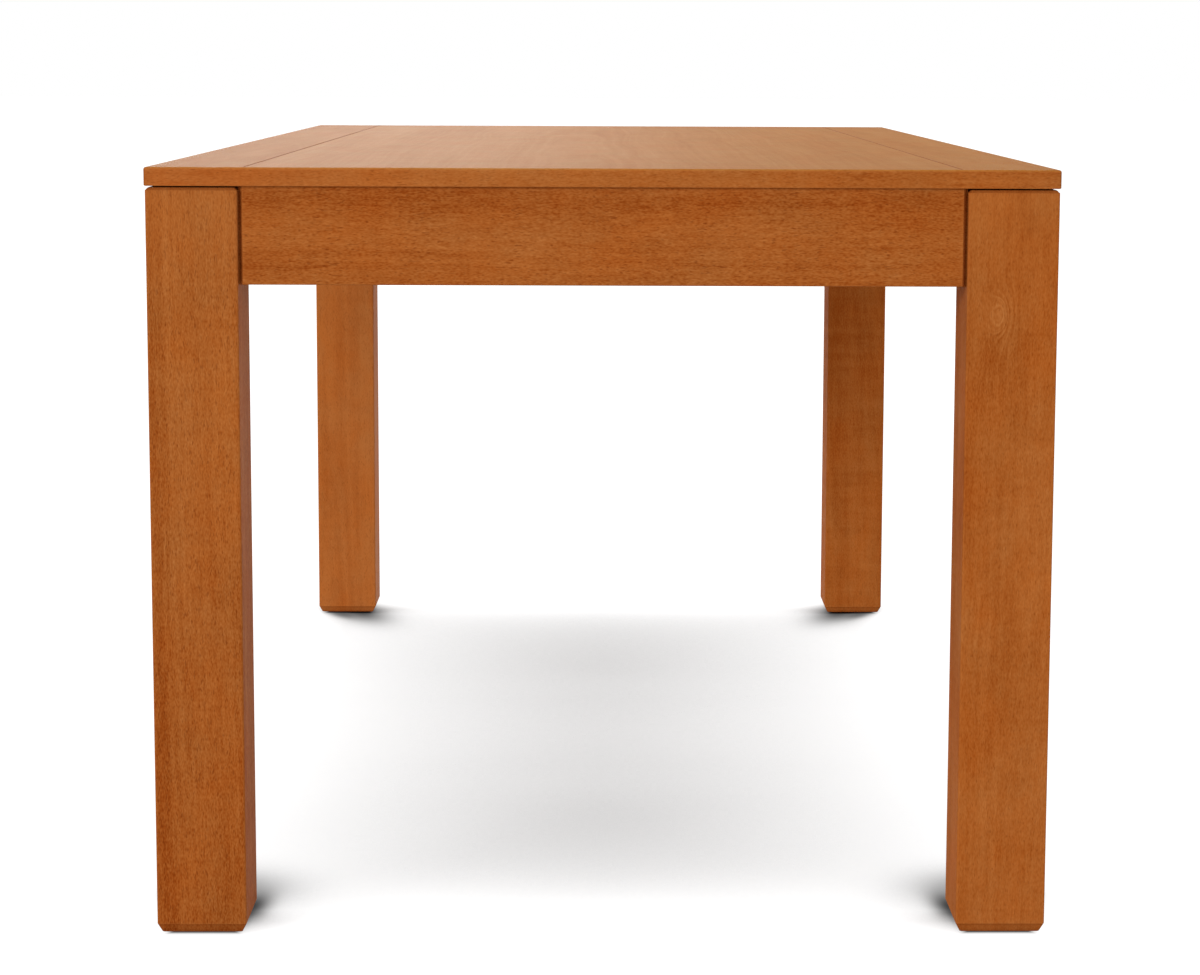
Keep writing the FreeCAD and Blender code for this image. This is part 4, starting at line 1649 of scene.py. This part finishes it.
    def build(self) -> None:
        """Make the metal pieces and dress the plastic ones."""
        zinc = ZINC.material("zinc_plate")
        yellow = YELLOW_ZINC.material("yellow_zinc_plate")
        nylon = NYLON.material("glide_nylon")
        plated = self.bolt_sets()
        plated["tabletop_clips"] = [self.clip(points) for points in solids_of("tabletop_clips")]
        for node, surfaces in plated.items():
            publish(f"{node}_plated", Surface.joined(surfaces), zinc, [node])
        for node in ("corner_block_screws", "rail_screws", "clip_screws", "glide_nails"):
            depth = 0.0 if node == "glide_nails" else self.cross_depth
            surfaces = [self.screw(Pin.read(points), depth) for points in solids_of(node)]
            publish(f"{node}_plated", Surface.joined(surfaces), yellow, [node])
        for corner in CORNERS:
            dress(f"foot_glide_{corner.name}", nylon)


# -------------------------------------------------------------------------------------- studio


@dataclass(frozen=True)
class FootShade:
    """Soft dark spot on the floor beside the two feet at one end.

    Attributes:
        end: sign of the end's Y.
        depth: how dark the spot's middle is.
        inward: how far its middle lies from the leg's inner side, towards the table's middle.
        outward: how far it lies from the leg's inner end face, towards the end.
        turn: angle of its own axes.
        size: its half sizes along those axes.
        power: how flat its middle is.
    """

    end: int
    depth: float
    inward: float
    outward: float
    turn: float
    size: tuple[float, float]
    power: float

    def openness(self, weave: Weave, across: Socket, along: Socket) -> Socket:
        """Share of the light that the spot leaves.

        Args:
            weave: the floor's material in the making.
            across: distance from the leg's inner side, towards the table's middle.
            along: position along the table.

        Returns:
            1 away from the spot, and 1 minus the depth at its middle.
        """
        inner_face = float(node_array("leg_back_right")[0][1])
        place = weave.add("CombineXYZ", {0: across, 1: weave.times(along, self.end)}).outputs[0]
        away = weave.moved(place, (-self.inward, -inner_face - self.outward, 0.0))
        own = weave.add("VectorRotate", {"Vector": away, "Angle": -self.turn},
                        rotation_type="Z_AXIS").outputs[0]
        reach = weave.length(weave.scaled(own, (1 / self.size[0], 1 / self.size[1], 0.0)))
        return weave.ranged(weave.falloff(reach, self.power), 0.0, 1.0, 1.0, 1.0 - self.depth)


@dataclass(frozen=True)
class Softbox:
    """Broad round or oval lamp that faces a point.

    Attributes:
        name: of the lamp.
        place: where it hangs.
        aim: the point that it faces.
        size: its width and height.
        power: in watts.
    """

    name: str
    place: Point
    aim: Point
    size: tuple[float, float]
    power: float

    def hang(self) -> None:
        """Make the lamp."""
        data = bpy.data.lights.new(self.name, "AREA")
        data.shape, data.energy = "ELLIPSE", self.power
        data.size, data.size_y = self.size
        lamp = bpy.data.objects.new(self.name, data)
        lamp.location = self.place
        facing = Vector(self.aim) - Vector(self.place)
        lamp.rotation_euler = facing.to_track_quat("-Z", "Y").to_euler()
        bpy.context.collection.objects.link(lamp)


@dataclass(frozen=True)
class FarLamp:
    """Broad, far lamp in front of the table.

    Attributes:
        name: of the lamp.
        strength: of its light.
        turn: degrees to the right of the front end's own direction.
        height: degrees above the floor.
        spread: angle that it fills.
    """

    name: str
    strength: float
    turn: float
    height: float
    spread: float = math.radians(20.0)

    def hang(self) -> None:
        """Make the lamp."""
        data = bpy.data.lights.new(self.name, "SUN")
        data.energy, data.angle = self.strength, self.spread
        lamp = bpy.data.objects.new(self.name, data)
        turn, height = math.radians(self.turn), math.radians(self.height)
        toward = Vector((math.sin(turn) * math.cos(height), -math.cos(turn) * math.cos(height),
                         math.sin(height)))
        lamp.rotation_euler = toward.to_track_quat("Z", "Y").to_euler()
        bpy.context.collection.objects.link(lamp)


@dataclass
class Studio:
    """Pale floor, soft light and the camera that looks along the table from its front end.

    The floor shows as white where the light falls freely, and greyer where the table shades it: partly its
    real shade, and partly painted shadow laid out round the table and its feet.

    Attributes:
        lens: the camera's focal length in millimetres.
        sensor: width of its sensor in millimetres.
        shift: how far its frame is shifted, as a share of its width.
        position: where it stands.
        pitch: how far it looks down.
        yaw: how far it is turned.
        roll: how far it leans.
        floor_reach: half the floor's width.
        floor_tone: how much light the floor sends to the eye.
        bounce_tone: how much it sends to the table.
        sky_reach: how far away a piece still shades the floor.
        sky_gain: how much sky makes the floor shine fully white, as one over its share.
        dip: how much less it shines under the table's middle, half the dip's width across the
            table, and how flat its bottom is.
        dip_length: its middle along the table, half its length and how flat its bottom is.
        foot_inset: how far the sole's edge lies inside the leg's side.
        contact_inset: how far inside the sole's edge the floor is fully covered.
        contact_fade: how far out of that the cover fades.
        contact_depth: how dark the covered floor is.
        footprint_edge: distance beyond the legs' outer sides where the table's shade starts to
            fade, and where it ends.
        spot_edge: the same for the feet's shades.
        foot_shades: dark spots beside the feet.
        world_light: strength of the light from all round.
        lamps: the lamps.
    """

    lens: float = 86.642
    sensor: float = 36.0
    shift: tuple[float, float] = (-0.03607, -0.05)
    position: Point = (-0.00554, -3.73689, 0.88163)
    pitch: float = 0.12693
    yaw: float = -0.01546
    roll: float = -0.00419
    floor_reach: float = 60.0
    floor_tone: float = 0.2
    bounce_tone: float = 0.66
    sky_reach: float = 0.9
    sky_gain: float = 1.5
    dip: tuple[float, float, float] = (0.525, 0.8236, 1.378)
    dip_length: tuple[float, float, float] = (0.0436, 0.836, 10.95)
    foot_inset: float = 5.0 * MM
    contact_inset: float = 10.0 * MM
    contact_fade: float = 5.2 * MM
    contact_depth: float = 0.9
    footprint_edge: tuple[float, float] = (-0.05, 0.0)
    spot_edge: tuple[float, float] = (-0.01, 0.03)
    foot_shades: tuple[FootShade, ...] = (
        FootShade(-1, 0.926, -0.0077, -0.0108, 0.085, (0.0206, 0.055), 2.5),
        FootShade(-1, 0.651, -0.0371, -0.0808, 0.963, (0.0717, 0.0639), 2.0),
        FootShade(1, 0.841, -0.0226, 0.0121, 0.336, (0.0387, 0.0986), 2.11),
        FootShade(1, 0.69, -0.0608, 0.007, 0.483, (0.0168, 0.0477), 2.69))
    world_light: float = 0.62
    lamps: tuple[Softbox | FarLamp, ...] = (
        FarLamp("left_front_light", 1.2, -45.0, 15.0),
        FarLamp("right_front_light", 0.4, 45.0, 10.0),
        Softbox("overhead_softbox", (0.0, 0.2, 3.2), (0.0, 0.2, 0.0), (3.4, 3.8), 38.0),
        Softbox("back_softbox", (-1.7, 9.4, 3.0), (0.0, 0.2, 0.7), (4.2, 4.2), 188.0))

    def camera(self) -> None:
        """Camera with a small shift of its frame."""
        data = bpy.data.cameras.new("camera")
        data.lens, data.sensor_width = self.lens, self.sensor
        data.shift_x, data.shift_y = self.shift
        eye = bpy.data.objects.new("camera", data)
        eye.location = self.position
        eye.rotation_euler = (math.pi / 2 - self.pitch, self.roll, self.yaw)
        bpy.context.collection.objects.link(eye)
        bpy.context.scene.camera = eye

    def touch(self, weave: Weave, across: Socket, along: Socket) -> Socket:
        """How closely a foot covers the floor.

        It falls as a bell curve with the distance from a square under each foot, which lies
        inside the sole's edge by the contact's inset.

        Args:
            weave: the floor's material in the making.
            across: position across the table.
            along: position along the table.

        Returns:
            0 away from the feet, and 1 under them.
        """
        low, high = node_array("leg_back_right")
        outside = []
        for place, start, end in zip((across, along), low, high):
            off = weave.minus(weave.unsigned(place), float(start + end) / 2)
            half = float(end - start) / 2 - self.foot_inset - self.contact_inset
            outside.append(weave.minus(weave.unsigned(off), half))
        distance = weave.larger(weave.larger(*outside), 0.0)
        return weave.falloff(weave.over(distance, self.contact_fade))

    def sky_glow(self, weave: Weave, across: Socket, along: Socket,
                 beyond_edge: Socket) -> Socket:
        """Light that the floor shows where no foot shades it.

        Under the table it is the share of the sky that the floor sees, times a gain that dips
        towards the table's middle by two bell curves, one across and one along the table.
        Beyond the legs' outer sides it is white.

        Args:
            weave: the floor's material in the making.
            across: position across the table.
            along: position along the table.
            beyond_edge: distance beyond the legs' outer sides.

        Returns:
            1 where the floor is white.
        """
        depth, width, flat = self.dip
        middle, length, steep = self.dip_length
        dip_across = weave.falloff(weave.over(across, width), flat)
        dip_along = weave.falloff(weave.over(weave.minus(along, middle), length), steep)
        dip = weave.times(dip_across, dip_along)
        gain = weave.minus(self.sky_gain, weave.times(dip, depth))
        open_sky = weave.add("AmbientOcclusion", {"Distance": self.sky_reach}).outputs["AO"]
        glow = weave.maths("MINIMUM", weave.times(open_sky, gain), 1.0)
        outside = weave.ranged(beyond_edge, *self.footprint_edge)
        return weave.blended(outside, glow, (1.0, 1.0, 1.0))

    def floor_finish(self) -> bpy.types.Material:
        """Floor that shows white, and the table's shade, to the eye and in reflections.

        It is clear from below, and to the light that the soles get, so that a view from below
        shows the whole underside.

        Returns:
            The floor's material.
        """
        weave = Weave(bpy.data.materials.new("studio_floor"))
        across, along, _ = weave.parts(weave.add("TexCoord").outputs["Object"])
        low, high = node_array("leg_back_right")
        beyond_edge = weave.larger(weave.minus(weave.unsigned(across), float(high[0])),
                                   weave.minus(weave.unsigned(along), float(high[1])))
        clear = weave.ranged(beyond_edge, *self.spot_edge)
        touch = self.touch(weave, across, along)
        shade = weave.minus(1.0, weave.times(touch, self.contact_depth))
        inward = weave.minus(float(low[0]), weave.unsigned(across))
        for spot in self.foot_shades:
            shade = weave.times(shade, weave.larger(spot.openness(weave, inward, along), clear))

        seen = weave.seen()
        tone = weave.blended(seen, (self.bounce_tone,) * 3, weave.times(shade, self.floor_tone))
        matte = weave.add("BsdfDiffuse", {"Color": tone}).outputs[0]
        glow = weave.times(self.sky_glow(weave, across, along, beyond_edge), shade)
        light = weave.add("Emission", {"Strength": weave.times(glow, seen)}).outputs[0]
        lit = weave.add("AddShader", {0: matte, 1: light}).outputs[0]
        passing = weave.larger(weave.add("NewGeometry").outputs["Backfacing"],
                               weave.times(touch, weave.minus(1.0, seen)))
        film = weave.add("BsdfTransparent").outputs[0]
        return weave.finish(weave.add("MixShader", {0: passing, 1: lit, 2: film}).outputs[0])

    def floor(self) -> None:
        """Wide, flat floor."""
        reach = self.floor_reach
        mesh = bpy.data.meshes.new("floor")
        mesh.from_pydata([(-reach, -reach, 0), (reach, -reach, 0), (reach, reach, 0),
                          (-reach, reach, 0)], [], [(0, 1, 2, 3)])
        mesh.materials.append(self.floor_finish())
        ground = bpy.data.objects.new("floor", mesh)
        bpy.context.collection.objects.link(ground)

    def world(self) -> None:
        """Even light from all round, seen as plain white."""
        world = bpy.data.worlds.new("studio")
        bpy.context.scene.world = world
        weave = Weave(world)
        strength = weave.ranged(weave.seen(), 0.0, 1.0, self.world_light, 1.0)
        sky = weave.add("Background", {"Color": (1.0, 1.0, 1.0, 1.0), "Strength": strength})
        weave.finish(sky.outputs[0])

    def build(self) -> None:
        """Set up the camera, floor, world and lamps."""
        self.camera()
        self.floor()
        self.world()
        for lamp in self.lamps:
            lamp.hang()
        bpy.context.scene.view_settings.view_transform = "Standard"


def main() -> None:
    """Build the table's pieces in order and then the studio round it."""
    logging.basicConfig(level=logging.INFO, format="%(name)s: %(message)s")
    for assembly in (Tabletop(), Legs(), Aprons(), InnerFrame(), Hardware(), Studio()):
        assembly.build()
        log.info("built %s", type(assembly).__name__)


if __name__ == "__main__":
    main()
